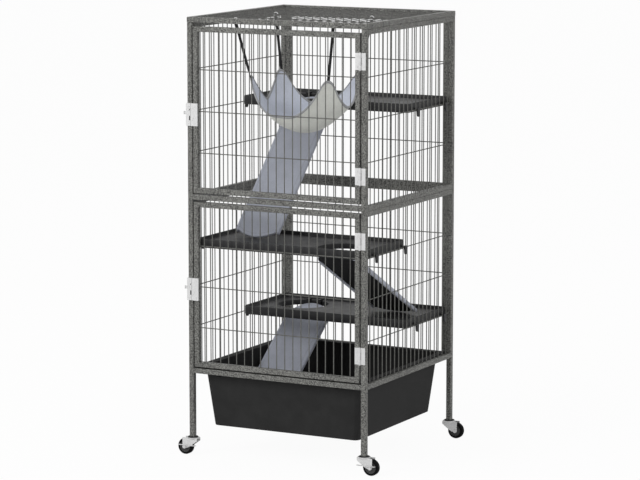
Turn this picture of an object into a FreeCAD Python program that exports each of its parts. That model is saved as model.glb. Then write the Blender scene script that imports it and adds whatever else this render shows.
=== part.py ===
"""Two-storey wire cage for small animals, on four swivel casters.

Square steel tube carries wire panels on four sides and the roof. Two framed doors hang on
leaf hinges at the front. Three moulded shelves clip on the side wires and carry three ramps,
a cloth hammock hangs from the roof wires and a deep pan closes the bottom.

Frame: millimetres, +Z up, front towards -Y. The origin is on the floor, in the middle of the
width and depth.
"""
import FreeCAD, Part
import math
import os

V = FreeCAD.Vector
X, Y, Z = 0, 1, 2

# Cage, over the posts
CAGE_WIDTH = 600.0
CAGE_DEPTH = 600.0
LEG_LENGTH = 197.0
LOWER_PANEL_HEIGHT = 530.0
UPPER_PANEL_HEIGHT = 532.0
TUBE = 16.0
TUBE_WALL = 1.2
TUBE_CORNER = 2.0
TUBE_FIT = 0.2
JOINER_REACH = 30.0
PEG_REACH = 25.0

# Wire panels
WIRE_R = 1.5
WIRE_PITCH = 27.4
WIRE_EDGE_MIN = 12.0
WELD_BITE = 0.4
CROSS_WIRES = 3

# Doors
DOOR_GAP_LATCH = 3.0
DOOR_GAP_HINGE = 5.0
UPPER_DOOR_GAP_TOP = 11.5
UPPER_DOOR_GAP_BOTTOM = 4.5
LOWER_DOOR_GAP_TOP = 6.0
LOWER_DOOR_GAP_BOTTOM = 4.0

# Leaf hinges
HINGE_HEIGHT = 50.0
HINGE_INSET = 82.0
KNUCKLE_R = 3.4
KNUCKLE_MIDDLE = 20.0
LEAF_THICK = 1.6
LEAF_WIDTH = 17.0
PIN_R = 1.7
PIN_HEAD_R = 2.6
PIN_HEAD_HEIGHT = 1.6
RUN_FIT = 0.05
PART_GAP = 0.4
RIVET_R = 2.6
RIVET_HEIGHT = 1.1
HINGE_RIVET_SPREAD = 30.0

# Slide latches
LATCH_HEIGHT = 68.0
LATCH_DEPTH = 5.4
LATCH_DROP = 14.0
LATCH_SEAM = 13.3
LATCH_WRAP = 2.0
LATCH_RIVET_SPREAD = 50.0
CATCH_WIDTH = 22.8
SEAM_GAP = 0.8
BOLT_HEIGHT = 9.6
BOLT_THICK = 1.8
BOLT_RISE = 5.0
BOLT_BACK = 1.6
BOLT_THROW = 6.0
BOLT_FIT = 0.3
BOLT_TAB = BOLT_THROW + BOLT_THICK + BOLT_FIT

# Casters
CASTER_HEIGHT = 57.0
WHEEL_R = 25.0
WHEEL_WIDTH = 17.0
WHEEL_EDGE = 3.0
TYRE_DEPTH = 7.0
HUB_RECESS = 2.5
HUB_BOSS_R = 7.0
CASTER_TRAIL = 24.0
FORK_THICK = 2.0
FORK_FRONT = 19.0
FORK_REAR = 19.0
FORK_SHOULDER = 9.0
FORK_WAIST = 17.0
FORK_TIP_R = 7.0
RACE_R = 19.0
COLLAR_R = 16.0
COLLAR_THICK = 2.0
RACE_THICK = 1.7
SEAT_GAP = 0.3
STEM_R = 4.0
STEM_HEAD_R = 6.0
STEM_HEAD_THICK = 2.4
PLUG_LENGTH = 40.0
AXLE_R = 2.5
AXLE_HEAD_R = 4.5
AXLE_HEAD_THICK = 1.5
BRAKE_INNER = 41.0
BRAKE_OUTER = 19.0
BRAKE_WIDTH = 7.4
BRAKE_THICK = 1.5
BRAKE_LUG_R = 6.5

# Shelves
SHELF_DEPTH = 275.0
SHELF_SIDE_GAP = 1.0
SHELF_DOOR_GAP = 2.0
SHELF_HEIGHT = 27.0
SHELF_LIP = 11.0
SHELF_FLOOR = 3.0
SHELF_WALL = 3.0
SHELF_CORNER = 12.0
SHELF_DROP = 6.0
HOLE_R = 79.0
HOLE_ASIDE = 0.27 * CAGE_WIDTH
HOLE_BACK = 30.0
CLIP_BAR_WIDTH = 10.0
CLIP_BAR_HEIGHT = 3.0
CLIP_WIDTH = 18.0
CLIP_TIP_WIDTH = 11.0
CLIP_HEIGHT = 31.0
CLIP_THICK = 5.5
CLIP_FRONT_INSET = 55.0
CLIP_BACK_INSET = 28.0

# Ramps
RAMP_HALF_WIDTH = 73.0
RAMP_THICK = 6.0
RAMP_TIP_BELOW_FLOOR = 10.0
RAMP_TIP_INSET = 10.0
RAMP_FOOT_SAGITTA = 28.0
RAMP_RAIL_DEPTH = 9.0
RAMP_RAIL_BACK = 20.0
RAMP_RAIL_WIDTH = 5.0
UPPER_RAMP_RUN = 386.0
MIDDLE_RAMP_RUN = 445.0
LOWER_RAMP_RUN = 402.0
COVER_THICK = 1.8
COVER_FIT = 0.3
LUG_ASIDE = 20.0
LUG_WIDTH = 10.0
LUG_DEPTH = 8.0
LUG_INSET = 4.7
LUG_REACH_BACK = 12.0
LUG_DOWN = 20.0
LUG_BAR_R = 2.0
LUG_SLOT = 1.0

# Hammock
HAMMOCK_X = -12.5
HAMMOCK_FROM_FRONT = 0.34 * CAGE_DEPTH
HAMMOCK_LENGTH = 265.0
HAMMOCK_WIDTH = 188.0
HAMMOCK_DROP = 166.0
HAMMOCK_LONG_SAG = 108.0
HAMMOCK_SHORT_SAG = 76.0
HAMMOCK_DEPTH = 170.0
HAMMOCK_BULGE = 8.0
HAMMOCK_THICK = 3.0
HAMMOCK_SECTIONS = 7
HOOK_LEFT_WIRE = 3
HOOK_RIGHT_WIRE = 15
HOOK_FRONT = HAMMOCK_FROM_FRONT - 124.0
HOOK_BACK = HAMMOCK_FROM_FRONT + 126.0
HOOK_RING_R = 7.0
HOOK_WIRE_R = 1.25
STRAP_WIDTH = 9.0
STRAP_THICK = 2.0
STRAP_END_GAP = 0.9

# Pan
PAN_TOP_INSET = 16.0
PAN_BOTTOM_INSET = 38.0
PAN_CORNER_TOP = 22.0
PAN_CORNER_BOTTOM = 16.0
PAN_WALL = 3.0
PAN_BOTTOM_Z = 88.0
PAN_RIM_THICK = 3.0
PAN_RIM_BEARING = 5.0
PAN_RIM_GAP = 1.0
PAD_SPREAD = 400.0
PAD_LENGTH = 12.0
PAD_WIDTH = 8.0
PAD_HEIGHT = 4.0

# Places that follow from the sizes above
HALF_W = CAGE_WIDTH / 2
INNER_W = HALF_W - TUBE
FRONT_Y = -CAGE_DEPTH / 2
BACK_Y = CAGE_DEPTH / 2
FRONT_IN = FRONT_Y + TUBE
BACK_IN = BACK_Y - TUBE
RAIL_Z = CASTER_HEIGHT + LEG_LENGTH
FLOOR_RAIL_TOP = RAIL_Z + TUBE
MID_Z = RAIL_Z + LOWER_PANEL_HEIGHT
MID_RAIL_TOP = MID_Z + TUBE
ROOF_Z = MID_Z + UPPER_PANEL_HEIGHT
ROOF_TOP = ROOF_Z + TUBE
BORE = TUBE - 2 * TUBE_WALL
PLUG = BORE - 2 * TUBE_FIT
LAYER = WIRE_R - WELD_BITE / 2
HINGE_X = INNER_W - DOOR_GAP_HINGE / 2
HINGE_Y = FRONT_Y - KNUCKLE_R
SHELF_HALF = INNER_W - SHELF_SIDE_GAP
SHELF_FLOOR_TOP = SHELF_HEIGHT - SHELF_LIP


def box(low, high):
    """Box between two corners."""
    return Part.makeBox(high[X] - low[X], high[Y] - low[Y], high[Z] - low[Z], V(*low))


def rod(start, end, radius):
    """Round bar between two points."""
    reach = V(*end) - V(*start)
    return Part.makeCylinder(radius, reach.Length, V(*start), reach)


def place(values):
    """Point from pairs of axis and value."""
    point = [0.0, 0.0, 0.0]
    for axis, value in values:
        point[axis] = value
    return point


def joined(shapes):
    """One solid out of shapes that bite into each other."""
    return shapes[0].multiFuse(shapes[1:]).removeSplitter()


def prism(points, axis, low, high):
    """Flat outline in the plane square to one axis, given thickness along that axis."""
    others = [other for other in (X, Y, Z) if other != axis]
    corners = [V(*place([(others[0], a), (others[1], b), (axis, low)])) for a, b in points]
    face = Part.Face(Part.makePolygon(corners + corners[:1]))
    return face.extrude(V(*place([(axis, high - low)])))


def tube(low, high, run):
    """Square tube that fills a box, with rounded long edges and a bore along one axis."""
    outer = box(low, high)
    length = high[run] - low[run]
    long_edges = [
        edge for edge in outer.Edges
        if abs(abs((edge.Vertexes[1].Point - edge.Vertexes[0].Point)[run]) - length) < 1e-6
        and edge.Length > TUBE + 1e-6
    ]
    bore_low = [value + (0.0 if axis == run else TUBE_WALL) for axis, value in enumerate(low)]
    bore_high = [value - (0.0 if axis == run else TUBE_WALL) for axis, value in enumerate(high)]
    return outer.makeFillet(TUBE_CORNER, long_edges).cut(box(bore_low, bore_high))


def wire_places(low, high):
    """Places of the evenly spaced main wires across an opening, centred in it."""
    count = int((high - low - 2 * WIRE_EDGE_MIN) / WIRE_PITCH) + 1
    first = (low + high - (count - 1) * WIRE_PITCH) / 2
    return [first + index * WIRE_PITCH for index in range(count)]


def cross_places(low, high):
    """Places of the cross wires, which divide an opening evenly."""
    return [low + (high - low) * (index + 1) / (CROSS_WIRES + 1) for index in range(CROSS_WIRES)]


def wire_grid(low, high, run, across, inward, levels):
    """Welded grid in an opening: main wires, and cross wires on their inner side."""
    normal = 3 - run - across
    middle = (low[normal] + high[normal]) / 2
    wires = []
    for spot in wire_places(low[across], high[across]):
        line = [(across, spot), (normal, middle - inward * LAYER)]
        ends = [place(line + [(run, limit[run])]) for limit in (low, high)]
        wires.append(rod(*ends, WIRE_R))
    for level in levels:
        line = [(run, level), (normal, middle + inward * LAYER)]
        ends = [place(line + [(across, limit[across])]) for limit in (low, high)]
        wires.append(rod(*ends, WIRE_R))
    return wires[0].multiFuse(wires[1:])


def side_frame(side, foot_z, low_z, high_z):
    """Two posts and two rails of a left (-1) or right (+1) panel."""
    x_low, x_high = sorted((side * INNER_W, side * HALF_W))
    front_post = tube((x_low, FRONT_Y, foot_z), (x_high, FRONT_IN, high_z), Z)
    back_post = tube((x_low, BACK_IN, foot_z), (x_high, BACK_Y, high_z), Z)
    low_rail = tube((x_low, FRONT_IN, low_z), (x_high, BACK_IN, low_z + TUBE), Y)
    high_rail = tube((x_low, FRONT_IN, high_z - TUBE), (x_high, BACK_IN, high_z), Y)
    return [front_post, back_post, low_rail, high_rail]


def side_wires(side, low_z, high_z):
    """Wire grid of a side panel."""
    x_low, x_high = sorted((side * INNER_W, side * HALF_W))
    low = (x_low, FRONT_IN, low_z + TUBE)
    high = (x_high, BACK_IN, high_z - TUBE)
    return [wire_grid(low, high, Z, Y, -side, panel_levels(low_z, high_z))]


def panel_levels(low_z, high_z):
    """Heights of the cross wires of a panel, which the doors share."""
    return cross_places(low_z + TUBE, high_z - TUBE)


def mitred_frame(low, high, first, second):
    """Four tubes round a rectangle in the plane of two axes, mitred at the corners."""
    normal = 3 - first - second
    tubes = []
    for run, across in ((first, second), (second, first)):
        for at_start in (True, False):
            tube_low, tube_high = list(low), list(high)
            if at_start:
                tube_high[across] = low[across] + TUBE
                outer, inner = low[across], tube_high[across]
            else:
                tube_low[across] = high[across] - TUBE
                outer, inner = high[across], tube_low[across]
            ends = [
                [(run, low[run]), (across, outer)],
                [(run, high[run]), (across, outer)],
                [(run, high[run] - TUBE), (across, inner)],
                [(run, low[run] + TUBE), (across, inner)],
            ]
            corners = [V(*place(end + [(normal, low[normal])])) for end in ends]
            trapezoid = Part.Face(Part.makePolygon(corners + corners[:1]))
            mitre = trapezoid.extrude(V(*place([(normal, high[normal] - low[normal])])))
            tubes.append(tube(tube_low, tube_high, run).common(mitre))
    return tubes


def flat_frame(low, high):
    """Mitred tube frame in a plane square to Y."""
    return mitred_frame(low, high, X, Z)


def flat_wires(low, high, inward, levels):
    """Wire grid inside a flat frame."""
    inner_low = (low[X] + TUBE, low[Y], low[Z] + TUBE)
    inner_high = (high[X] - TUBE, high[Y], high[Z] - TUBE)
    return [wire_grid(inner_low, inner_high, Z, X, inward, levels)]


def back_corners(low_z, high_z):
    """Corners of a back panel, which stands between the back posts."""
    return (-INNER_W, BACK_IN, low_z), (INNER_W, BACK_Y, high_z)


def roof_frame():
    """Mitred tube frame that lies on the tops of the posts."""
    return mitred_frame((-HALF_W, FRONT_Y, ROOF_Z), (HALF_W, BACK_Y, ROOF_TOP), X, Y)


def roof_wires():
    """Roof grid: main wires from front to back, over the cross wires."""
    low = (-INNER_W, FRONT_IN, ROOF_Z)
    high = (INNER_W, BACK_IN, ROOF_TOP)
    return [wire_grid(low, high, Y, X, -1, cross_places(FRONT_IN, BACK_IN))]


def front_rails():
    """Bottom rail under the lower door and middle rail between the doors."""
    bottom = tube((-INNER_W, FRONT_Y, RAIL_Z), (INNER_W, FRONT_IN, FLOOR_RAIL_TOP), X)
    middle = tube((-INNER_W, FRONT_Y, MID_Z), (INNER_W, FRONT_IN, MID_RAIL_TOP), X)
    return [bottom, middle]


def post_centres():
    """Plan centres of the four posts: front left, front right, back left, back right."""
    x_post = HALF_W - TUBE / 2
    y_front = FRONT_Y + TUBE / 2
    y_back = BACK_Y - TUBE / 2
    return [(-x_post, y_front), (x_post, y_front), (-x_post, y_back), (x_post, y_back)]


def post_joiners():
    """Plugs inside the posts: one over each storey joint and one under each roof corner."""
    plugs = []
    for x, y in post_centres():
        low, high = (x - PLUG / 2, y - PLUG / 2), (x + PLUG / 2, y + PLUG / 2)
        plugs.append(box((*low, MID_Z - JOINER_REACH), (*high, MID_Z + JOINER_REACH)))
        plugs.append(box((*low, ROOF_Z - PEG_REACH), (*high, ROOF_Z)))
    return plugs


def door_corners(low_z, high_z):
    """Corners of a door that closes flush with the front of the posts."""
    return (-INNER_W + DOOR_GAP_LATCH, FRONT_Y, low_z), (INNER_W - DOOR_GAP_HINGE, FRONT_IN, high_z)


UPPER_DOOR = door_corners(MID_RAIL_TOP + UPPER_DOOR_GAP_BOTTOM, ROOF_Z - UPPER_DOOR_GAP_TOP)
LOWER_DOOR = door_corners(FLOOR_RAIL_TOP + LOWER_DOOR_GAP_BOTTOM, MID_Z - LOWER_DOOR_GAP_TOP)


def hinge_heights(door):
    """Heights of the middles of a door's two hinges."""
    return door[0][Z] + HINGE_INSET, door[1][Z] - HINGE_INSET


def knuckle(low_z, high_z):
    """Hinge barrel between two heights, bored for the pin."""
    barrel = rod((HINGE_X, HINGE_Y, low_z), (HINGE_X, HINGE_Y, high_z), KNUCKLE_R)
    return barrel.cut(rod((HINGE_X, HINGE_Y, low_z), (HINGE_X, HINGE_Y, high_z), PIN_R + RUN_FIT))


def front_rivets(x, front, middle_z, spread):
    """Two rivet heads above each other on a front face."""
    heights = (middle_z - spread / 2, middle_z + spread / 2)
    return [rod((x, front, z), (x, front - RIVET_HEIGHT, z), RIVET_R) for z in heights]


def hinge_leaf(side, middle_z, own_spans):
    """Leaf on the post (+1) or the door (-1), with its barrels over the given spans."""
    foot = HINGE_X + side * (KNUCKLE_R + PART_GAP)
    end = HINGE_X + side * LEAF_WIDTH
    x_low, x_high = sorted((foot, end))
    y_low, y_high = FRONT_Y - LEAF_THICK, FRONT_Y
    pieces = [box((x_low, y_low, middle_z - HINGE_HEIGHT / 2), (x_high, y_high, middle_z + HINGE_HEIGHT / 2))]
    for low_z, high_z in own_spans:
        web_low, web_high = sorted((HINGE_X, foot))
        web = box((web_low, y_low, low_z), (web_high, y_high, high_z))
        pieces.append(web.cut(rod((HINGE_X, HINGE_Y, low_z), (HINGE_X, HINGE_Y, high_z), PIN_R + RUN_FIT)))
        pieces.append(knuckle(low_z, high_z))
    rivet_x = (foot + end) / 2
    return [joined(pieces)] + front_rivets(rivet_x, y_low, middle_z, HINGE_RIVET_SPREAD)


def post_leaf(middle_z):
    """Post leaf with an upper and a lower barrel."""
    half, inner = HINGE_HEIGHT / 2, KNUCKLE_MIDDLE / 2 + PART_GAP
    return hinge_leaf(1, middle_z, [(middle_z - half, middle_z - inner), (middle_z + inner, middle_z + half)])


def door_leaf(middle_z):
    """Door leaf with one barrel between those of the post leaf."""
    return hinge_leaf(-1, middle_z, [(middle_z - KNUCKLE_MIDDLE / 2, middle_z + KNUCKLE_MIDDLE / 2)])


def hinge_pin(middle_z):
    """Pin through the barrels, with a head at each end."""
    low, high = middle_z - HINGE_HEIGHT / 2, middle_z + HINGE_HEIGHT / 2
    shank = rod((HINGE_X, HINGE_Y, low), (HINGE_X, HINGE_Y, high), PIN_R)
    foot = rod((HINGE_X, HINGE_Y, low - PIN_HEAD_HEIGHT), (HINGE_X, HINGE_Y, low), PIN_HEAD_R)
    head = rod((HINGE_X, HINGE_Y, high), (HINGE_X, HINGE_Y, high + PIN_HEAD_HEIGHT), PIN_HEAD_R)
    return joined([shank, foot, head])


def latch_height(door):
    """Height of the middle of a door's latch."""
    return (door[0][Z] + door[1][Z]) / 2 - LATCH_DROP


def bolt_section(middle_z, margin):
    """Y and Z limits of the latch bolt, or of its channel where a margin is given."""
    y_middle = FRONT_Y - LATCH_DEPTH / 2
    z_middle = middle_z + BOLT_RISE
    half_thick, half_height = BOLT_THICK / 2 + margin, BOLT_HEIGHT / 2 + margin
    return (y_middle - half_thick, z_middle - half_height), (y_middle + half_thick, z_middle + half_height)


def latch_housing(middle_z):
    """Cover on the post that holds the sliding bolt, turned round the post's outer corner."""
    half = LATCH_HEIGHT / 2
    front = FRONT_Y - LATCH_DEPTH
    outside = -HALF_W - LATCH_WRAP
    seam = -HALF_W + LATCH_SEAM
    cover = box((outside, front, middle_z - half), (seam, FRONT_Y, middle_z + half))
    turn = box((outside, FRONT_Y, middle_z - half), (-HALF_W, FRONT_Y + TUBE / 2, middle_z + half))
    low, high = bolt_section(middle_z, BOLT_FIT)
    channel = box((outside, *low), (seam, *high))
    body = joined([cover, turn]).cut(channel)
    return [body] + front_rivets(-HALF_W + LATCH_SEAM / 2, front, middle_z, LATCH_RIVET_SPREAD)


def latch_bolt(middle_z):
    """Flat bolt with its thumb tab outside the post, drawn back behind the seam."""
    low, high = bolt_section(middle_z, 0.0)
    tail = -HALF_W - LATCH_WRAP - BOLT_TAB
    nose = -HALF_W + LATCH_SEAM - BOLT_BACK
    bar = box((tail, *low), (nose, *high))
    tab = box((tail, low[0] - BOLT_THICK, low[1]), (tail + BOLT_THICK, high[0] + BOLT_THICK, high[1]))
    return [joined([bar, tab])]


def latch_catch(middle_z):
    """Cover on the door stile with the pocket that takes the bolt."""
    half = LATCH_HEIGHT / 2
    front = FRONT_Y - LATCH_DEPTH
    seam = -HALF_W + LATCH_SEAM + SEAM_GAP
    stile = -INNER_W + DOOR_GAP_LATCH
    cover = box((stile, front, middle_z - half), (seam + CATCH_WIDTH, FRONT_Y, middle_z + half))
    nose = box((seam, front, middle_z - half), (stile, FRONT_Y - PART_GAP, middle_z + half))
    low, high = bolt_section(middle_z, BOLT_FIT)
    pocket = box((seam, *low), (seam + BOLT_THROW + BOLT_FIT, *high))
    body = joined([cover, nose]).cut(pocket)
    return [body] + front_rivets(seam + CATCH_WIDTH * 0.6, front, middle_z, LATCH_RIVET_SPREAD)


def shifted(shapes, x, y):
    """Shapes moved in plan."""
    for shape in shapes:
        shape.translate(V(x, y, 0))
    return shapes


FORK_HALF = WHEEL_WIDTH / 2 + 0.5 + SEAT_GAP
FORK_TOP = CASTER_HEIGHT - COLLAR_THICK - SEAT_GAP - RACE_THICK


def caster_stem():
    """Plug in the leg, collar under it and the stem that the fork swivels on, at the origin."""
    half = PLUG / 2
    plug = box((-half, -half, CASTER_HEIGHT - COLLAR_THICK), (half, half, CASTER_HEIGHT + PLUG_LENGTH))
    collar = rod((0, 0, CASTER_HEIGHT - COLLAR_THICK), (0, 0, CASTER_HEIGHT), COLLAR_R)
    head_top = FORK_TOP - FORK_THICK - SEAT_GAP
    stem = rod((0, 0, head_top - STEM_HEAD_THICK), (0, 0, CASTER_HEIGHT), STEM_R)
    head = rod((0, 0, head_top - STEM_HEAD_THICK), (0, 0, head_top), STEM_HEAD_R)
    return [joined([plug, collar, stem, head])]


def caster_fork(trail):
    """Swivel race, top plate and two cheeks, trailing towards -X (-1) or +X (+1)."""
    race = rod((0, 0, FORK_TOP), (0, 0, FORK_TOP + RACE_THICK), RACE_R)
    x_low, x_high = sorted((-trail * FORK_FRONT, trail * FORK_REAR))
    wide = FORK_HALF + FORK_THICK
    top = box((x_low, -wide, FORK_TOP - FORK_THICK), (x_high, wide, FORK_TOP))
    tip = FORK_TIP_R
    outline = [
        (-FORK_FRONT, FORK_TOP),
        (CASTER_TRAIL + tip, FORK_TOP),
        (CASTER_TRAIL + tip, WHEEL_R - tip / 3),
        (CASTER_TRAIL + 0.7 * tip, WHEEL_R - 0.7 * tip),
        (CASTER_TRAIL, WHEEL_R - tip),
        (CASTER_TRAIL - 0.7 * tip, WHEEL_R - 0.7 * tip),
        (CASTER_TRAIL - FORK_WAIST, WHEEL_R),
        (-FORK_FRONT, FORK_TOP - FORK_SHOULDER),
    ]
    outline = [(trail * a, b) for a, b in outline]
    cheeks = [prism(outline, Y, FORK_HALF, wide), prism(outline, Y, -wide, -FORK_HALF)]
    stem_hole = rod((0, 0, FORK_TOP - FORK_THICK), (0, 0, FORK_TOP + RACE_THICK), STEM_R + RUN_FIT)
    axle = trail * CASTER_TRAIL
    axle_hole = rod((axle, -wide, WHEEL_R), (axle, wide, WHEEL_R), AXLE_R + RUN_FIT)
    return [joined([race, top] + cheeks).cut(stem_hole).cut(axle_hole)]


def caster_axle(trail, brake):
    """Axle with a head at each end, longer at the front where it also holds the brake lever."""
    axle = trail * CASTER_TRAIL
    inner = FORK_HALF + FORK_THICK + SEAT_GAP
    front = inner + (BRAKE_THICK + SEAT_GAP if brake else 0.0)
    shank = rod((axle, -front, WHEEL_R), (axle, inner, WHEEL_R), AXLE_R)
    near = rod((axle, -front - AXLE_HEAD_THICK, WHEEL_R), (axle, -front, WHEEL_R), AXLE_HEAD_R)
    far = rod((axle, inner, WHEEL_R), (axle, inner + AXLE_HEAD_THICK, WHEEL_R), AXLE_HEAD_R)
    return [joined([shank, near, far])]


def caster_wheel(trail):
    """Rubber tyre and its hub, as two solids round one bore."""
    axle = trail * CASTER_TRAIL
    half = WHEEL_WIDTH / 2
    hub_r = WHEEL_R - TYRE_DEPTH

    def disc(radius, reach):
        return rod((axle, -reach, WHEEL_R), (axle, reach, WHEEL_R), radius)

    rim = disc(WHEEL_R, half)
    outer_edges = [edge for edge in rim.Edges if isinstance(edge.Curve, Part.Circle)]
    tyre = rim.makeFillet(WHEEL_EDGE, outer_edges).cut(disc(hub_r, half))
    web = disc(hub_r - RUN_FIT, half - HUB_RECESS)
    boss = disc(HUB_BOSS_R, FORK_HALF - SEAT_GAP)
    hub = joined([web, boss]).cut(disc(AXLE_R + RUN_FIT, FORK_HALF))
    return [tyre, hub]


def caster_brake(trail):
    """Rocking brake lever outside the front cheek: a flat toe plate over a lug on the axle."""
    axle = trail * CASTER_TRAIL
    back = -(FORK_HALF + FORK_THICK + SEAT_GAP)
    front = back - BRAKE_THICK
    low_z = WHEEL_R + AXLE_HEAD_R + SEAT_GAP
    high_z = low_z + BRAKE_THICK
    x_low, x_high = sorted((axle - trail * BRAKE_INNER, axle + trail * BRAKE_OUTER))
    plate = box((x_low, back - BRAKE_WIDTH, low_z), (x_high, back, high_z))
    lug = rod((axle, front, WHEEL_R), (axle, back, WHEEL_R), BRAKE_LUG_R)
    web = box((axle - BRAKE_LUG_R, front, WHEEL_R), (axle + BRAKE_LUG_R, back, high_z))
    hole = rod((axle, front, WHEEL_R), (axle, back, WHEEL_R), AXLE_R + RUN_FIT)
    return [joined([plate, lug, web]).cut(hole)]


def rounded_block(low, high, radius):
    """Box with rounded upright edges."""
    block = box(low, high)
    upright = [edge for edge in block.Edges if abs(edge.Vertexes[0].Z - edge.Vertexes[1].Z) > 1e-6]
    return block.makeFillet(radius, upright)


def nearest_gap(y):
    """Middle of the gap between side-panel wires that is nearest to a place."""
    wires = wire_places(FRONT_IN, BACK_IN)
    gaps = [spot + WIRE_PITCH / 2 for spot in wires[:-1]]
    return min(gaps, key=lambda gap: abs(gap - y))


def shelf_clip(side, y, wire_z):
    """Bar over a side panel's cross wire, ending in a rounded tongue that hangs outside it."""
    wire_x = HALF_W - TUBE / 2 - LAYER
    tongue_in = wire_x + WIRE_R + COVER_FIT
    bar_z = wire_z + WIRE_R + COVER_FIT
    x_low, x_high = sorted((side * (SHELF_HALF - SHELF_WALL), side * (tongue_in + CLIP_THICK)))
    half = CLIP_BAR_WIDTH / 2
    bar = box((x_low, y - half, bar_z), (x_high, y + half, bar_z + CLIP_BAR_HEIGHT))
    top, tip = CLIP_WIDTH / 2, CLIP_TIP_WIDTH / 2
    top_z = bar_z + CLIP_BAR_HEIGHT
    round_z = top_z - CLIP_HEIGHT + tip
    x = side * tongue_in
    corners = [V(x, y - top, top_z), V(x, y + top, top_z), V(x, y + tip, round_z), V(x, y - tip, round_z)]
    outline = Part.Wire([
        Part.LineSegment(corners[0], corners[1]).toShape(),
        Part.LineSegment(corners[1], corners[2]).toShape(),
        Part.Arc(corners[2], V(x, y, round_z - tip), corners[3]).toShape(),
        Part.LineSegment(corners[3], corners[0]).toShape(),
    ])
    return [bar, Part.Face(outline).extrude(V(side * CLIP_THICK, 0, 0))]


class ShelfPlace:
    """Where a shelf sits: against the back (+1) or the front (-1), on a cross wire."""

    def __init__(self, facing, wire_z):
        self.facing = facing
        self.wire_z = wire_z
        self.bottom = wire_z - SHELF_DROP
        self.floor = self.bottom + SHELF_FLOOR_TOP
        if facing > 0:
            self.back = BACK_IN - SHELF_SIDE_GAP
            self.front = self.back - SHELF_DEPTH
        else:
            self.front = FRONT_IN + SHELF_DOOR_GAP
            self.back = self.front + SHELF_DEPTH
        self.hole_x = -facing * HOLE_ASIDE
        self.hole_y = (self.front + self.back) / 2 + facing * HOLE_BACK


LOWER_LEVELS = panel_levels(RAIL_Z, MID_Z)
UPPER_LEVELS = panel_levels(MID_Z, ROOF_Z)
UPPER_SHELF = ShelfPlace(1, UPPER_LEVELS[1])
MIDDLE_SHELF = ShelfPlace(-1, LOWER_LEVELS[2])
LOWER_SHELF = ShelfPlace(1, LOWER_LEVELS[0])


def shelf(spot):
    """Moulded tray with a raised lip, a skirt, a collared ramp hole and four wire clips."""
    low = (-SHELF_HALF, spot.front, spot.bottom)
    high = (SHELF_HALF, spot.back, spot.bottom + SHELF_HEIGHT)
    wall = SHELF_WALL
    inner_corner = SHELF_CORNER - wall
    tray = rounded_block(low, high, SHELF_CORNER)
    top_low = (low[X] + wall, low[Y] + wall, spot.floor)
    tray = tray.cut(rounded_block(top_low, (high[X] - wall, high[Y] - wall, high[Z]), inner_corner))
    under_low = (low[X] + wall, low[Y] + wall, low[Z])
    under_high = (high[X] - wall, high[Y] - wall, spot.floor - SHELF_FLOOR)
    tray = tray.cut(rounded_block(under_low, under_high, inner_corner))
    hole_bottom = (spot.hole_x, spot.hole_y, spot.bottom)
    hole_top = (spot.hole_x, spot.hole_y, spot.floor)
    collar = rod(hole_bottom, hole_top, HOLE_R + wall)
    pieces = [tray, collar]
    clip_places = (spot.front + CLIP_FRONT_INSET, spot.back - CLIP_BACK_INSET)
    for side in (-1, 1):
        for y in clip_places:
            pieces += shelf_clip(side, nearest_gap(y), spot.wire_z)
    return [joined(pieces).cut(rod(hole_bottom, hole_top, HOLE_R))]


def ramp_outline(half_width, length, sagitta, grow):
    """Face of a ramp seen from above: round tip at the origin, run towards -Y, curved foot."""
    half = half_width + grow
    tip, foot = V(0, grow, 0), V(0, -length - grow, 0)
    shoulder = -half_width
    heel = -length + sagitta
    corners = [V(-half, shoulder, 0), V(half, shoulder, 0), V(half, heel, 0), V(-half, heel, 0)]
    slant = half * math.sqrt(0.5)
    left_tip = V(-slant, shoulder + slant, 0)
    right_tip = V(slant, shoulder + slant, 0)
    edges = [
        Part.Arc(corners[0], left_tip, tip).toShape(),
        Part.Arc(tip, right_tip, corners[1]).toShape(),
        Part.LineSegment(corners[1], corners[2]).toShape(),
        Part.Arc(corners[2], foot, corners[3]).toShape(),
        Part.LineSegment(corners[3], corners[0]).toShape(),
    ]
    return Part.Face(Part.Wire(edges))


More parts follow.
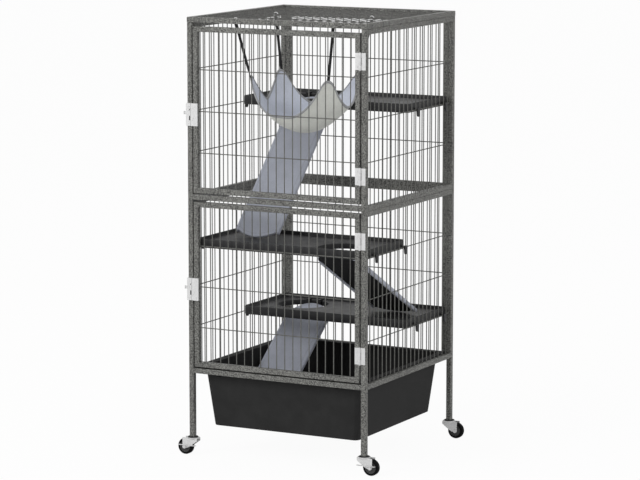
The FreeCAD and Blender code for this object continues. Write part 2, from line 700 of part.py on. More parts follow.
class Ramp:
    """Ramp that hooks in a shelf's hole and comes down on a floor at the other side."""

    def __init__(self, spot, run, floor_z):
        self.spot = spot
        drop = spot.floor - RAMP_TIP_BELOW_FLOOR - floor_z
        self.angle = math.atan2(drop, run)
        reach = drop - RAMP_THICK * math.cos(self.angle) - SEAT_GAP
        self.length = reach / math.sin(self.angle) - COVER_FIT - COVER_THICK
        self.tip_from_hole = HOLE_R - RAMP_TIP_INSET

    def seated(self, shape):
        """Shape moved from the ramp's own plane to its place."""
        shape.rotate(V(0, 0, 0), V(1, 0, 0), math.degrees(self.angle))
        shape.translate(V(0, self.tip_from_hole, self.spot.floor - RAMP_TIP_BELOW_FLOOR))
        return self.turned(shape)

    def turned(self, shape):
        """Shape moved from the hole's middle at the origin to the hole, facing its side."""
        if self.spot.facing < 0:
            shape.rotate(V(0, 0, 0), V(0, 0, 1), 180)
        shape.translate(V(self.spot.hole_x, self.spot.hole_y, 0))
        return shape

    def lugs(self, margin):
        """Hook lugs that reach over the hole's rim, or the slots round them with a margin."""
        floor = self.spot.floor
        back = HOLE_R - LUG_INSET
        front = back - LUG_DEPTH
        bar_low = floor + SEAT_GAP
        bar_high = bar_low + 2 * LUG_BAR_R
        pivot = back + LUG_REACH_BACK
        shapes = []
        for side in (-1, 1):
            x_low = side * LUG_ASIDE - LUG_WIDTH / 2 - margin
            x_high = side * LUG_ASIDE + LUG_WIDTH / 2 + margin
            web = box((x_low, front - margin, floor - LUG_DOWN - margin), (x_high, back + margin, bar_high))
            bar = box((x_low, front, bar_low), (x_high, pivot, bar_high))
            nose = rod((x_low, pivot, bar_low + LUG_BAR_R), (x_high, pivot, bar_low + LUG_BAR_R), LUG_BAR_R)
            shapes += [web, bar, nose]
        return shapes

    def slab(self, grow, low, high):
        """Board outline in the ramp's own plane, between two heights."""
        face = ramp_outline(RAMP_HALF_WIDTH, self.length, RAMP_FOOT_SAGITTA, grow)
        face.translate(V(0, 0, low))
        return face.extrude(V(0, 0, high - low))

    def rails(self, inner, grow, top):
        """Side rails in the ramp's own plane, from an inner X out to the grown board edge."""
        bars = []
        for side in (-1, 1):
            x_low, x_high = sorted((side * inner, side * (RAMP_HALF_WIDTH + grow)))
            low = (x_low, RAMP_RAIL_BACK - self.length - grow, -RAMP_RAIL_DEPTH - grow)
            bars.append(box(low, (x_high, -RAMP_HALF_WIDTH, top)))
        return bars

    def board(self):
        """Stiff board on two side rails that stop short of its rounded foot, with its two hook lugs."""
        rails = self.rails(RAMP_HALF_WIDTH - RAMP_RAIL_WIDTH, 0.0, 0.0)
        plate = self.seated(joined([self.slab(0.0, -RAMP_THICK, 0.0)] + rails))
        lugs = [self.turned(shape) for shape in self.lugs(0.0)]
        return [joined([plate] + lugs)]

    def cover(self):
        """Fabric sleeve over the top and the edges, turned in under the side rails."""
        skin = COVER_FIT + COVER_THICK
        rail_in = RAMP_HALF_WIDTH - RAMP_RAIL_WIDTH
        sleeve = joined([self.slab(skin, -RAMP_THICK, skin)] + self.rails(rail_in, skin, skin))
        sleeve = sleeve.cut(self.slab(COVER_FIT, -RAMP_RAIL_DEPTH - 2 * skin, COVER_FIT).cut(
            joined(self.rails(rail_in, 2 * skin, -RAMP_RAIL_DEPTH - COVER_FIT))))
        for rail in self.rails(0.0, COVER_FIT, COVER_FIT):
            sleeve = sleeve.cut(rail)
        sleeve = self.seated(sleeve)
        for slot in self.lugs(LUG_SLOT):
            sleeve = sleeve.cut(self.turned(slot))
        return [sleeve]


PAN_FLOOR = PAN_BOTTOM_Z + PAN_WALL
UPPER_RAMP = Ramp(UPPER_SHELF, UPPER_RAMP_RUN, MIDDLE_SHELF.floor)
MIDDLE_RAMP = Ramp(MIDDLE_SHELF, MIDDLE_RAMP_RUN, LOWER_SHELF.floor)
LOWER_RAMP = Ramp(LOWER_SHELF, LOWER_RAMP_RUN, PAN_FLOOR)


def hammock_middle():
    """Plan middle of the hammock."""
    return HAMMOCK_X, FRONT_Y + HAMMOCK_FROM_FRONT


def hammock_section(share):
    """Hanging arc of cloth across the hammock, at a share (-1 to 1) of its half length."""
    middle_x, middle_y = hammock_middle()
    x = middle_x + share * HAMMOCK_LENGTH / 2
    fall = 1 - share * share
    corner_z = ROOF_Z - HAMMOCK_DROP
    edge_z = corner_z - HAMMOCK_LONG_SAG * fall
    low_z = corner_z - HAMMOCK_SHORT_SAG - (HAMMOCK_DEPTH - HAMMOCK_SHORT_SAG) * fall
    half = HAMMOCK_WIDTH / 2 + HAMMOCK_BULGE * fall
    inner_half = half - HAMMOCK_THICK
    inner_z = low_z + HAMMOCK_THICK
    outer = [V(x, middle_y - half, edge_z), V(x, middle_y, low_z), V(x, middle_y + half, edge_z)]
    far, near = V(x, middle_y + inner_half, edge_z), V(x, middle_y - inner_half, edge_z)
    inner = [far, V(x, middle_y, inner_z), near]
    return Part.Wire([
        Part.Arc(*outer).toShape(),
        Part.LineSegment(outer[2], inner[0]).toShape(),
        Part.Arc(*inner).toShape(),
        Part.LineSegment(inner[2], outer[0]).toShape(),
    ])


def hammock():
    """Cloth hammock as it hangs between its four corners."""
    steps = HAMMOCK_SECTIONS - 1
    sections = [hammock_section(2 * index / steps - 1) for index in range(HAMMOCK_SECTIONS)]
    return [Part.makeLoft(sections, True)]


def hook_places():
    """Plan place of each roof hook with the share signs of the hammock corner it carries."""
    wires = wire_places(-INNER_W, INNER_W)
    columns = ((-1, wires[HOOK_LEFT_WIRE]), (1, wires[HOOK_RIGHT_WIRE]))
    rows = ((-1, FRONT_Y + HOOK_FRONT), (1, FRONT_Y + HOOK_BACK))
    return [(sign_x, sign_y, x, y) for sign_x, x in columns for sign_y, y in rows]


def ring_height():
    """Height of the middle of a hook ring, hung over a main roof wire."""
    wire_top = (ROOF_Z + ROOF_TOP) / 2 + LAYER + WIRE_R
    return wire_top + SEAT_GAP - (HOOK_RING_R - HOOK_WIRE_R)


def hammock_hooks():
    """Wire rings hung over the roof wires."""
    middles = [V(x, y, ring_height()) for _, _, x, y in hook_places()]
    return [Part.makeTorus(HOOK_RING_R, HOOK_WIRE_R, middle, V(0, 1, 0)) for middle in middles]


def hammock_straps():
    """Flat straps from the hook rings down to the hammock's corners."""
    middle_x, middle_y = hammock_middle()
    corner_z = ROOF_Z - HAMMOCK_DROP
    ring_bottom = ring_height() - HOOK_RING_R - HOOK_WIRE_R
    half_width, half_thick = STRAP_WIDTH / 2, STRAP_THICK / 2
    straps = []
    for sign_x, sign_y, x, y in hook_places():
        top = V(x, y, ring_bottom - STRAP_END_GAP)
        corner_y = middle_y + sign_y * (HAMMOCK_WIDTH - HAMMOCK_THICK) / 2
        bottom = V(middle_x + sign_x * HAMMOCK_LENGTH / 2, corner_y, corner_z + STRAP_END_GAP)
        reach = top - bottom
        strap = box((-half_width, -half_thick, 0.0), (half_width, half_thick, reach.Length))
        strap.Placement = FreeCAD.Placement(bottom, FreeCAD.Rotation(V(0, 0, 1), reach))
        straps.append(strap)
    return straps


def rounded_loop(inset, radius, z):
    """Closed loop of lines and corner arcs, inset from the inner faces of the rails."""
    half_x = INNER_W - inset
    low_y, high_y = FRONT_IN + inset, BACK_IN - inset
    corners = [
        (half_x - radius, high_y - radius, 0),
        (-half_x + radius, high_y - radius, 90),
        (-half_x + radius, low_y + radius, 180),
        (half_x - radius, low_y + radius, 270),
    ]
    edges = []
    last = None
    first = None
    for x, y, start in corners:
        points = []
        for turn in (0, 45, 90):
            angle = math.radians(start + turn)
            points.append(V(x + radius * math.cos(angle), y + radius * math.sin(angle), z))
        if last is None:
            first = points[0]
        else:
            edges.append(Part.LineSegment(last, points[0]).toShape())
        edges.append(Part.Arc(*points).toShape())
        last = points[2]
    edges.append(Part.LineSegment(last, first).toShape())
    return Part.Wire(edges)


def base_pan():
    """Deep moulded pan with sloping walls, hung by its rim on the four bottom rails."""
    top_z = FLOOR_RAIL_TOP + PAN_RIM_THICK
    wall = PAN_WALL
    outer = Part.makeLoft([
        rounded_loop(PAN_BOTTOM_INSET, PAN_CORNER_BOTTOM, PAN_BOTTOM_Z),
        rounded_loop(PAN_TOP_INSET, PAN_CORNER_TOP, top_z),
    ], True, True)
    inner = Part.makeLoft([
        rounded_loop(PAN_BOTTOM_INSET + wall, PAN_CORNER_BOTTOM - wall, PAN_FLOOR),
        rounded_loop(PAN_TOP_INSET + wall, PAN_CORNER_TOP - wall, top_z),
    ], True, True)
    rim_x, post_x = INNER_W + PAN_RIM_BEARING, INNER_W - PAN_RIM_GAP
    post_low, post_high = FRONT_IN + PAN_RIM_GAP, BACK_IN - PAN_RIM_GAP
    stile_x = INNER_W - TUBE - PAN_RIM_GAP
    rims = [
        box((-rim_x, post_low, FLOOR_RAIL_TOP), (rim_x, post_high, top_z)),
        box((-post_x, FRONT_IN - PAN_RIM_BEARING, FLOOR_RAIL_TOP), (post_x, post_high, top_z)),
        box((-stile_x, post_low, FLOOR_RAIL_TOP), (stile_x, BACK_IN + PAN_RIM_BEARING, top_z)),
    ]
    return [joined([outer] + rims).cut(inner)]


def rail_pads():
    """Small stop pads under the front bottom rail."""
    pads = []
    middle_y = FRONT_Y + TUBE / 2
    for sign in (-1, 1):
        x = sign * PAD_SPREAD / 2
        low = (x - PAD_LENGTH / 2, middle_y - PAD_WIDTH / 2, RAIL_Z - PAD_HEIGHT)
        pads.append(box(low, (x + PAD_LENGTH / 2, middle_y + PAD_WIDTH / 2, RAIL_Z)))
    return pads


def cage_nodes():
    """Nodes of the fixed cage."""
    nodes = {}
    for name, side in (("left", -1), ("right", 1)):
        nodes[f"{name}_lower_frame"] = side_frame(side, CASTER_HEIGHT, RAIL_Z, MID_Z)
        nodes[f"{name}_upper_frame"] = side_frame(side, MID_Z, MID_Z, ROOF_Z)
        nodes[f"{name}_lower_wires"] = side_wires(side, RAIL_Z, MID_Z)
        nodes[f"{name}_upper_wires"] = side_wires(side, MID_Z, ROOF_Z)
    for name, low_z, high_z in (("lower", RAIL_Z, MID_Z), ("upper", MID_Z, ROOF_Z)):
        corners = back_corners(low_z, high_z)
        nodes[f"back_{name}_frame"] = flat_frame(*corners)
        nodes[f"back_{name}_wires"] = flat_wires(*corners, -1, panel_levels(low_z, high_z))
    nodes["roof_frame"] = roof_frame()
    nodes["roof_wires"] = roof_wires()
    nodes["front_rails"] = front_rails()
    nodes["post_joiners"] = post_joiners()
    nodes["base_pan"] = base_pan()
    nodes["rail_pads"] = rail_pads()
    return nodes


def door_nodes():
    """Nodes of the two doors and of their hinges and latches."""
    nodes = {"hinge_post_leaves": [], "hinge_pins": [], "latch_housings": []}
    for name, door, levels in (("upper", UPPER_DOOR, UPPER_LEVELS), ("lower", LOWER_DOOR, LOWER_LEVELS)):
        heights = hinge_heights(door)
        nodes[f"{name}_door_frame"] = flat_frame(*door)
        nodes[f"{name}_door_wires"] = flat_wires(*door, 1, levels)
        nodes[f"{name}_hinge_leaves"] = [shape for height in heights for shape in door_leaf(height)]
        nodes[f"{name}_latch_catch"] = latch_catch(latch_height(door))
        nodes[f"{name}_latch_bolt"] = latch_bolt(latch_height(door))
        nodes["hinge_post_leaves"] += [shape for height in heights for shape in post_leaf(height)]
        nodes["hinge_pins"] += [hinge_pin(height) for height in heights]
        nodes["latch_housings"] += latch_housing(latch_height(door))
    return nodes


def caster_nodes():
    """Nodes of the four casters: the left ones trail to the left, the right ones to the right."""
    nodes = {"caster_stems": []}
    for name, (x, y) in zip(("front_left", "front_right", "back_left", "back_right"), post_centres()):
        trail = 1 if x > 0 else -1
        brake = y < 0
        nodes["caster_stems"] += shifted(caster_stem(), x, y)
        nodes[f"{name}_fork"] = shifted(caster_fork(trail), x, y)
        nodes[f"{name}_axle"] = shifted(caster_axle(trail, brake), x, y)
        nodes[f"{name}_wheel"] = shifted(caster_wheel(trail), x, y)
        if brake:
            nodes[f"{name}_brake"] = shifted(caster_brake(trail), x, y)
    return nodes


def inside_nodes():
    """Nodes of the shelves, ramps and hammock."""
    nodes = {
        "upper_shelf": shelf(UPPER_SHELF),
        "middle_shelf": shelf(MIDDLE_SHELF),
        "lower_shelf": shelf(LOWER_SHELF),
        "hammock": hammock(),
        "hammock_straps": hammock_straps(),
        "hammock_hooks": hammock_hooks(),
    }
    for name, ramp in (("upper", UPPER_RAMP), ("middle", MIDDLE_RAMP), ("lower", LOWER_RAMP)):
        nodes[f"{name}_ramp_board"] = ramp.board()
        nodes[f"{name}_ramp_cover"] = ramp.cover()
        pivot = ramp.spot.hole_y + ramp.spot.facing * (HOLE_R - LUG_INSET + LUG_REACH_BACK)
        height = ramp.spot.floor + SEAT_GAP + LUG_BAR_R
        print(f"{name} ramp: pivot y {pivot:.2f} z {height:.2f}, slope {math.degrees(ramp.angle):.1f} deg")
    return nodes


def main():
    """Builds every node and writes one STEP file for each."""
    os.makedirs("parts", exist_ok=True)
    nodes = {**cage_nodes(), **door_nodes(), **caster_nodes(), **inside_nodes()}
    for name, shapes in nodes.items():
        solids = [solid for shape in shapes for solid in shape.Solids]
        whole = solids[0] if len(solids) == 1 else Part.makeCompound(solids)
        whole.exportStep(f"parts/{name}.step")
        volume = sum(solid.Volume for solid in solids) / 1000
        print(f"{name}: {len(solids)} solids, {volume:.1f} cm3, valid {whole.isValid()}")
    print(f"{len(nodes)} nodes")


main()
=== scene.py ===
"""Looks of a two-storey wire cage for small animals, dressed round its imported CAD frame."""

import logging
import math
from collections.abc import Sequence
from dataclasses import dataclass, field
from enum import Enum

import bmesh
import bpy
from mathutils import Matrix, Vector, noise


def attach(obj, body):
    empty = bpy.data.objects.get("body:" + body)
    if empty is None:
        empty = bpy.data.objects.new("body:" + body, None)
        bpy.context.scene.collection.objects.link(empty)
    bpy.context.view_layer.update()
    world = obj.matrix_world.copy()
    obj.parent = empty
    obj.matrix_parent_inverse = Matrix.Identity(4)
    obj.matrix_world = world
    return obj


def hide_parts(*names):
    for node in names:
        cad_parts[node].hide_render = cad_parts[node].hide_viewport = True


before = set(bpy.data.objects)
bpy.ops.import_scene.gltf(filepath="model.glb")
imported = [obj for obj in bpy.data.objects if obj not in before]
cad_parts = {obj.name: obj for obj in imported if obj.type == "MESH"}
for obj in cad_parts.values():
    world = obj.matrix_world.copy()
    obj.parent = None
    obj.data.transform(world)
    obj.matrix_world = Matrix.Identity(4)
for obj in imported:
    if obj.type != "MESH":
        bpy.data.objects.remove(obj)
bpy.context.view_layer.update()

LOG = logging.getLogger("cage")
MM = 0.001
POINT_WELD = 0.0001 * MM
CLOTH_WELD = 0.02 * MM
CREASE = math.radians(50)
WHITE = (1.0, 1.0, 1.0, 1.0)

Colour = tuple[float, float, float, float]
Pair = tuple[float, float]
Triple = tuple[float, float, float]
Loop = list[Vector]
Faces = Sequence[Sequence[int]]
Piece = bpy.types.Object
Socket = bpy.types.NodeSocket
Tree = bpy.types.NodeTree


class Body(Enum):
    """Bodies of the frame that new pieces ride on."""

    CAGE = "frame"
    UPPER_DOOR = "upper_door"
    LOWER_DOOR = "lower_door"
    UPPER_RAMP = "upper_ramp"
    MIDDLE_RAMP = "middle_ramp"
    LOWER_RAMP = "lower_ramp"
    FRONT_LEFT_WHEEL = "front_left_roller"
    FRONT_RIGHT_WHEEL = "front_right_roller"
    BACK_LEFT_WHEEL = "back_left_roller"
    BACK_RIGHT_WHEEL = "back_right_roller"


class Facing(Enum):
    """Side of the cage that a shelf stands against."""

    BACK = 1
    FRONT = -1


def srgb(red: int, green: int, blue: int) -> Colour:
    """Turns a colour of 0 to 255 steps as seen on screen into the shader's linear colour.

    Args:
        red: Red step.
        green: Green step.
        blue: Blue step.

    Returns:
        The linear colour with full opacity.
    """
    steps = [step / 255 for step in (red, green, blue)]
    linear = [step / 12.92 if step <= 0.04045 else ((step + 0.055) / 1.055) ** 2.4 for step in steps]
    return (linear[0], linear[1], linear[2], 1.0)


def shade(colour: Colour, tone: float) -> Colour:
    """Returns a colour made darker by a tone under 1 or lighter by a tone over 1."""
    return (colour[0] * tone, colour[1] * tone, colour[2] * tone, 1.0)


class Shader:
    """One node material, with short calls for the nodes that the finishes use."""

    def __init__(self, name: str, fixed: dict[str, float]) -> None:
        """Starts a principled material.

        Args:
            name: Name of the material.
            fixed: Values that are the same all over, by the name of the surface's socket.
        """
        self.material = bpy.data.materials.new(name)
        self.material.use_nodes = True
        self.tree = self.material.node_tree
        self.surface = self.tree.nodes["Principled BSDF"]
        for socket, value in fixed.items():
            self.surface.inputs[socket].default_value = value
        self.normal: Socket | None = None

    def node(self, kind: str, values: dict[str | int, object], **settings: object) -> bpy.types.Node:
        """Adds one node.

        Args:
            kind: Blender's name of the node type.
            values: Value or socket for each input, by its name or number.
            **settings: Properties of the node.

        Returns:
            The new node.
        """
        node = self.tree.nodes.new(kind)
        for name, value in settings.items():
            setattr(node, name, value)
        for socket, value in values.items():
            if isinstance(value, Socket):
                self.tree.links.new(value, node.inputs[socket])
            else:
                node.inputs[socket].default_value = value
        return node

    def place(self, stretch: Triple = (1.0, 1.0, 1.0)) -> Socket:
        """Gives the object's own coordinates in metres.

        Args:
            stretch: Factor on each axis.

        Returns:
            The socket with the coordinates.
        """
        coordinates = self.node("ShaderNodeTexCoord", {}).outputs["Object"]
        return self.node("ShaderNodeMapping", {"Vector": coordinates, "Scale": stretch}).outputs["Vector"]

    def noise(self, place: Socket, grain: float, detail: float = 2.0) -> Socket:
        """Adds cloudy noise.

        Args:
            place: Coordinates.
            grain: Size of its clouds in metres.
            detail: Steps of finer noise in it.

        Returns:
            The socket with values round one half.
        """
        values = {"Vector": place, "Scale": 1.0 / grain, "Detail": detail, "Roughness": 0.55}
        return self.node("ShaderNodeTexNoise", values).outputs[0]

    def cells(self, place: Socket, grain: float) -> Socket:
        """Gives the distance to the middle of rounded cells.

        Args:
            place: Coordinates.
            grain: Size of a cell in metres.

        Returns:
            The socket with the distance.
        """
        values = {"Vector": place, "Scale": 1.0 / grain, "Smoothness": 0.6}
        return self.node("ShaderNodeTexVoronoi", values, feature="SMOOTH_F1").outputs["Distance"]

    def waves(self, place: Socket, length: float, direction: str) -> Socket:
        """Adds even waves with a slight wander.

        Args:
            place: Coordinates.
            length: Size of a wave in metres.
            direction: Axis that they run along.

        Returns:
            The socket with values from 0 to 1.
        """
        values = {"Vector": place, "Scale": 1.0 / length, "Distortion": 0.4}
        return self.node("ShaderNodeTexWave", values, bands_direction=direction).outputs["Fac"]

    def blend(self, first: Socket, *others: tuple[Socket, float]) -> Socket:
        """Adds shares of other values to a value.

        Args:
            first: First value.
            *others: Each other value, and the share of it that is added.

        Returns:
            The socket with the sum.
        """
        total = first
        for value, share in others:
            node = self.node("ShaderNodeMath", {0: value, 1: share, 2: total}, operation="MULTIPLY_ADD")
            total = node.outputs[0]
        return total

    def colour(self, value: Socket, colour: Colour, tones: Sequence[Pair]) -> None:
        """Colours the surface in tones of one colour.

        Args:
            value: Value from 0 to 1.
            colour: Colour at a tone of 1.
            tones: Value and tone of each stop, in rising order.
        """
        node = self.node("ShaderNodeValToRGB", {"Fac": value})
        elements = node.color_ramp.elements
        while len(elements) < len(tones):
            elements.new(0.5)
        for element, (position, tone) in zip(elements, tones):
            element.position = position
            element.color = shade(colour, tone)
        self.tree.links.new(node.outputs["Color"], self.surface.inputs["Base Color"])

    def roughness(self, value: Socket, low: float, high: float) -> None:
        """Lets the roughness follow a value.

        Args:
            value: Value from 0 to 1.
            low: Roughness where the value is small.
            high: Roughness where the value is large.
        """
        values = {"Value": value, "From Min": 0.3, "From Max": 0.7, "To Min": low, "To Max": high}
        node = self.node("ShaderNodeMapRange", values)
        self.tree.links.new(node.outputs["Result"], self.surface.inputs["Roughness"])

    def bump(self, height: Socket, depth: float, strength: float) -> None:
        """Raises the surface by a value, on top of any bump before it.

        Args:
            height: Value from 0 to 1.
            depth: Height of a full step in metres.
            strength: Share of the effect.
        """
        values: dict[str | int, object] = {"Height": height, "Distance": depth, "Strength": strength}
        if self.normal is not None:
            values["Normal"] = self.normal
        self.normal = self.node("ShaderNodeBump", values).outputs["Normal"]
        self.tree.links.new(self.normal, self.surface.inputs["Normal"])


@dataclass(frozen=True)
class HammeredPaint:
    """Powder coat that dries in small hammered cells."""

    name: str
    colour: Colour
    cell: float = 3.3 * MM
    depth: float = 0.16 * MM
    contrast: float = 0.78
    highlight: float = 1.4

    def material(self) -> bpy.types.Material:
        """Builds the material."""
        shader = Shader(self.name, {"Metallic": 0.1, "IOR": 1.45, "Specular IOR Level": 0.35})
        place = shader.place()
        cells = shader.cells(place, self.cell)
        specks = shader.noise(place, self.cell, detail=2.5)
        blotches = shader.noise(place, self.cell * 2)
        clouds = shader.noise(place, self.cell * 14)
        value = shader.blend(specks, (blotches, 0.3), (clouds, 0.14), (cells, -0.12))
        dark, light = 1 - self.contrast, 1 + self.contrast * self.highlight
        shader.colour(value, self.colour, ((0.5, dark), (0.65, 1.0), (0.8, light)))
        shader.roughness(specks, low=0.62, high=0.42)
        shader.bump(cells, self.depth, strength=0.7)
        shader.bump(specks, self.depth * 0.5, strength=0.5)
        return shader.material


@dataclass(frozen=True)
class PlatedSteel:
    """Bright zinc plate with faint drawing lines and dull patches."""

    name: str
    colour: Colour
    grain: float = 1.3 * MM
    drawn: Triple = (1.0, 1.0, 8.0)

    def material(self) -> bpy.types.Material:
        """Builds the material."""
        shader = Shader(self.name, {"Metallic": 0.25, "IOR": 1.5, "Specular IOR Level": 0.45})
        place = shader.place()
        lines = shader.noise(shader.place(self.drawn), self.grain * 2, detail=3.0)
        spangle = shader.noise(place, self.grain)
        clouds = shader.noise(place, self.grain * 7)
        value = shader.blend(spangle, (lines, 0.3), (clouds, 0.3))
        shader.colour(value, self.colour, ((0.55, 0.86), (0.8, 1.0), (1.0, 1.08)))
        shader.roughness(clouds, low=0.36, high=0.52)
        shader.bump(lines, 0.03 * MM, strength=0.5)
        shader.bump(spangle, 0.02 * MM, strength=0.4)
        return shader.material


@dataclass(frozen=True)
class MouldedPlastic:
    """Moulded plastic with the fine spark grain of its tool."""

    name: str
    colour: Colour
    grain: float = 0.9 * MM
    rough: float = 0.5
    gloss: float = 0.28
    cloud: float = 45 * MM

    def material(self) -> bpy.types.Material:
        """Builds the material."""
        shader = Shader(self.name, {"IOR": 1.46, "Specular IOR Level": self.gloss})
        place = shader.place()
        grain = shader.noise(place, self.grain)
        clouds = shader.noise(place, self.cloud, detail=3.0)
        value = shader.blend(clouds, (grain, 0.5))
        shader.colour(value, self.colour, ((0.5, 0.86), (1.0, 1.16)))
        shader.roughness(clouds, low=self.rough - 0.05, high=self.rough + 0.07)
        shader.bump(grain, 0.05 * MM, strength=0.55)
        return shader.material


@dataclass(frozen=True)
class Rubber:
    """Dull moulded rubber with a little dust in its clouds."""

    name: str
    colour: Colour
    cloud: float = 9 * MM
    grain: float = 0.7 * MM

    def material(self) -> bpy.types.Material:
        """Builds the material."""
        shader = Shader(self.name, {"IOR": 1.5, "Specular IOR Level": 0.08})
        place = shader.place()
        clouds = shader.noise(place, self.cloud, detail=4.0)
        grain = shader.noise(place, self.grain)
        shader.colour(clouds, self.colour, ((0.35, 0.8), (0.7, 1.35)))
        shader.roughness(clouds, low=0.6, high=0.78)
        shader.bump(grain, 0.06 * MM, strength=0.6)
        return shader.material


@dataclass(frozen=True)
class Fleece:
    """Short-pile fleece: fine fibre, small pills and slow shading of the nap."""

    name: str
    colour: Colour
    pile: float = 0.9 * MM
    depth: float = 0.5 * MM
    nap: float = 38 * MM

    def material(self) -> bpy.types.Material:
        """Builds the material."""
        fixed = {"Roughness": 0.95, "Specular IOR Level": 0.1, "Sheen Weight": 0.25, "Sheen Roughness": 0.5}
        shader = Shader(self.name, fixed)
        place = shader.place()
        fibre = shader.noise(place, self.pile, detail=3.0)
        pills = shader.noise(place, self.pile * 5, detail=3.0)
        nap = shader.noise(place, self.nap)
        total = shader.blend(fibre, (pills, 0.6), (nap, 0.7))
        low, high = 0.6, 1.7
        spread = shader.node("ShaderNodeMapRange", {"Value": total, "From Min": low, "From Max": high})
        levels = ((0.75, 0.8), (1.15, 1.0), (1.6, 1.14))
        tones = [((level - low) / (high - low), tone) for level, tone in levels]
        shader.colour(spread.outputs["Result"], self.colour, tones)
        shader.bump(pills, self.depth, strength=0.5)
        shader.bump(fibre, self.depth * 0.6, strength=0.7)
        return shader.material


@dataclass(frozen=True)
class Woven:
    """Plain weave of narrow tape or thread."""

    name: str
    colour: Colour
    thread: float = 0.8 * MM

    def material(self) -> bpy.types.Material:
        """Builds the material."""
        fixed = {"Roughness": 0.85, "Specular IOR Level": 0.25, "Sheen Weight": 0.2}
        shader = Shader(self.name, fixed)
        place = shader.place()
        length = self.thread * 2 * math.pi
        weave = shader.blend(shader.waves(place, length, "X"), (shader.waves(place, length, "Z"), 0.9))
        fuzz = shader.noise(place, self.thread, detail=3.0)
        value = shader.blend(fuzz, (weave, 0.25))
        shader.colour(value, self.colour, ((0.45, 0.7), (1.0, 1.35)))
        shader.bump(weave, 0.2 * MM, strength=0.6)
        return shader.material


class Finish(Enum):
    """Finishes of the cage."""

    FRAME = HammeredPaint("hammered_grey_paint", srgb(98, 98, 95))
    WIRE = HammeredPaint("grey_wire_paint", srgb(94, 94, 91), cell=1.6 * MM, depth=0.06 * MM, contrast=0.3)
    PLATED = PlatedSteel("bright_zinc_plate", srgb(212, 212, 212))
    SHELF = MouldedPlastic("black_shelf_plastic", srgb(44, 44, 45))
    PAN = MouldedPlastic("black_pan_plastic", srgb(46, 46, 46), grain=1.1 * MM, rough=0.7, gloss=0.08)
    BOARD = MouldedPlastic("black_board_plastic", srgb(32, 32, 33), grain=0.8 * MM, rough=0.62)
    TYRE = Rubber("black_tyre_rubber", srgb(6, 6, 7))
    HUB = MouldedPlastic("grey_hub_plastic", srgb(58, 58, 58), grain=0.8 * MM, rough=0.5)
    RAMP_CLOTH = Fleece("grey_ramp_fleece", srgb(182, 186, 198))
    HAMMOCK_IN = Fleece("lavender_hammock_fleece", srgb(210, 215, 227))
    HAMMOCK_OUT = Fleece("warm_hammock_fleece", srgb(223, 224, 218))
    HAMMOCK_HEM = Fleece("grey_hammock_binding", srgb(165, 166, 168), pile=0.6 * MM, depth=0.25 * MM)
    # Near-black plastic that paints the shade inside the latch slots, which are not cut into the plates.
    SLOT_SHADE = MouldedPlastic("latch_slot_painted_shade", srgb(9, 9, 9), grain=0.6 * MM, rough=0.8, gloss=0.05)
    STRAP = Woven("black_strap_webbing", srgb(28, 28, 29))
    THREAD = Woven("grey_sewing_thread", srgb(128, 129, 134), thread=0.25 * MM)


class Wardrobe:
    """Materials, each made once when it is first asked for."""

    def __init__(self) -> None:
        """Starts with no material."""
        self.made: dict[Finish, bpy.types.Material] = {}

    def material(self, finish: Finish) -> bpy.types.Material:
        """Gives a finish's material.

        Args:
            finish: The finish.

        Returns:
            The material, built on the first call.
        """
        if finish not in self.made:
            self.made[finish] = finish.value.material()
        return self.made[finish]

    def dress(self, piece: Piece, *finishes: Finish) -> None:
        """Puts finishes in an object's material slots.

        Args:
            piece: CAD node's object or new piece.
            *finishes: Finish of each slot, in order.
        """
        piece.data.materials.clear()
        for finish in finishes:
            piece.data.materials.append(self.material(finish))


WARDROBE = Wardrobe()


def open_mesh(
    name: str, points: Sequence[Vector], faces: Faces, weld: float
) -> tuple[bpy.types.Mesh, bmesh.types.BMesh]:
    """Starts a mesh and opens it for editing, with points that lie together joined.

    Args:
        name: Name of the mesh.
        points: Vertices in metres.
        faces: Vertex numbers of each face.
        weld: Distance under which points are joined, in metres.

    Returns:
        The mesh and its editable copy.
    """
    mesh = bpy.data.meshes.new(name)
    mesh.from_pydata([tuple(point) for point in points], [], [tuple(face) for face in faces])
    body = bmesh.new()
    body.from_mesh(mesh)
    bmesh.ops.remove_doubles(body, verts=body.verts, dist=weld)
    return mesh, body


def close_mesh(name: str, mesh: bpy.types.Mesh, body: bmesh.types.BMesh) -> Piece:
    """Closes an edited mesh and makes it a smooth object.

    Args:
        name: Name of the piece.
        mesh: The mesh.
        body: Its editable copy, which is freed.

    Returns:
        The new object, linked to the scene.
    """
    body.to_mesh(mesh)
    body.free()
    mesh.shade_smooth()
    piece = bpy.data.objects.new(name, mesh)
    bpy.context.scene.collection.objects.link(piece)
    return piece


def mesh_piece(name: str, points: Sequence[Vector], faces: Faces) -> Piece:
    """Makes a smooth mesh object with its faces turned outwards.

    Args:
        name: Name of the piece.
        points: Vertices in metres.
        faces: Vertex numbers of each face.

    Returns:
        The new object, linked to the scene.
    """
    mesh, body = open_mesh(name, points, faces, POINT_WELD)
    bmesh.ops.recalc_face_normals(body, faces=body.faces)
    return close_mesh(name, mesh, body)


def sheet_piece(name: str, points: Sequence[Vector], faces: Faces, up: Vector) -> Piece:
    """Makes an open cloth mesh whose faces look along a given direction.

    Args:
        name: Name of the piece.
        points: Vertices in metres.
        faces: Vertex numbers of each face, all wound the same way.
        up: Direction that most faces look along.

    Returns:
        The new object, linked to the scene.
    """
    mesh, body = open_mesh(name, points, faces, CLOTH_WELD)
    body.normal_update()
    total = sum((face.normal * face.calc_area() for face in body.faces), Vector())
    if total.dot(up) < 0:
        bmesh.ops.reverse_faces(body, faces=body.faces)
    return close_mesh(name, mesh, body)


def sharpen(piece: Piece) -> None:
    """Keeps edges crisp where faces meet at more than the crease angle."""
    piece.data.set_sharp_from_angle(angle=CREASE)


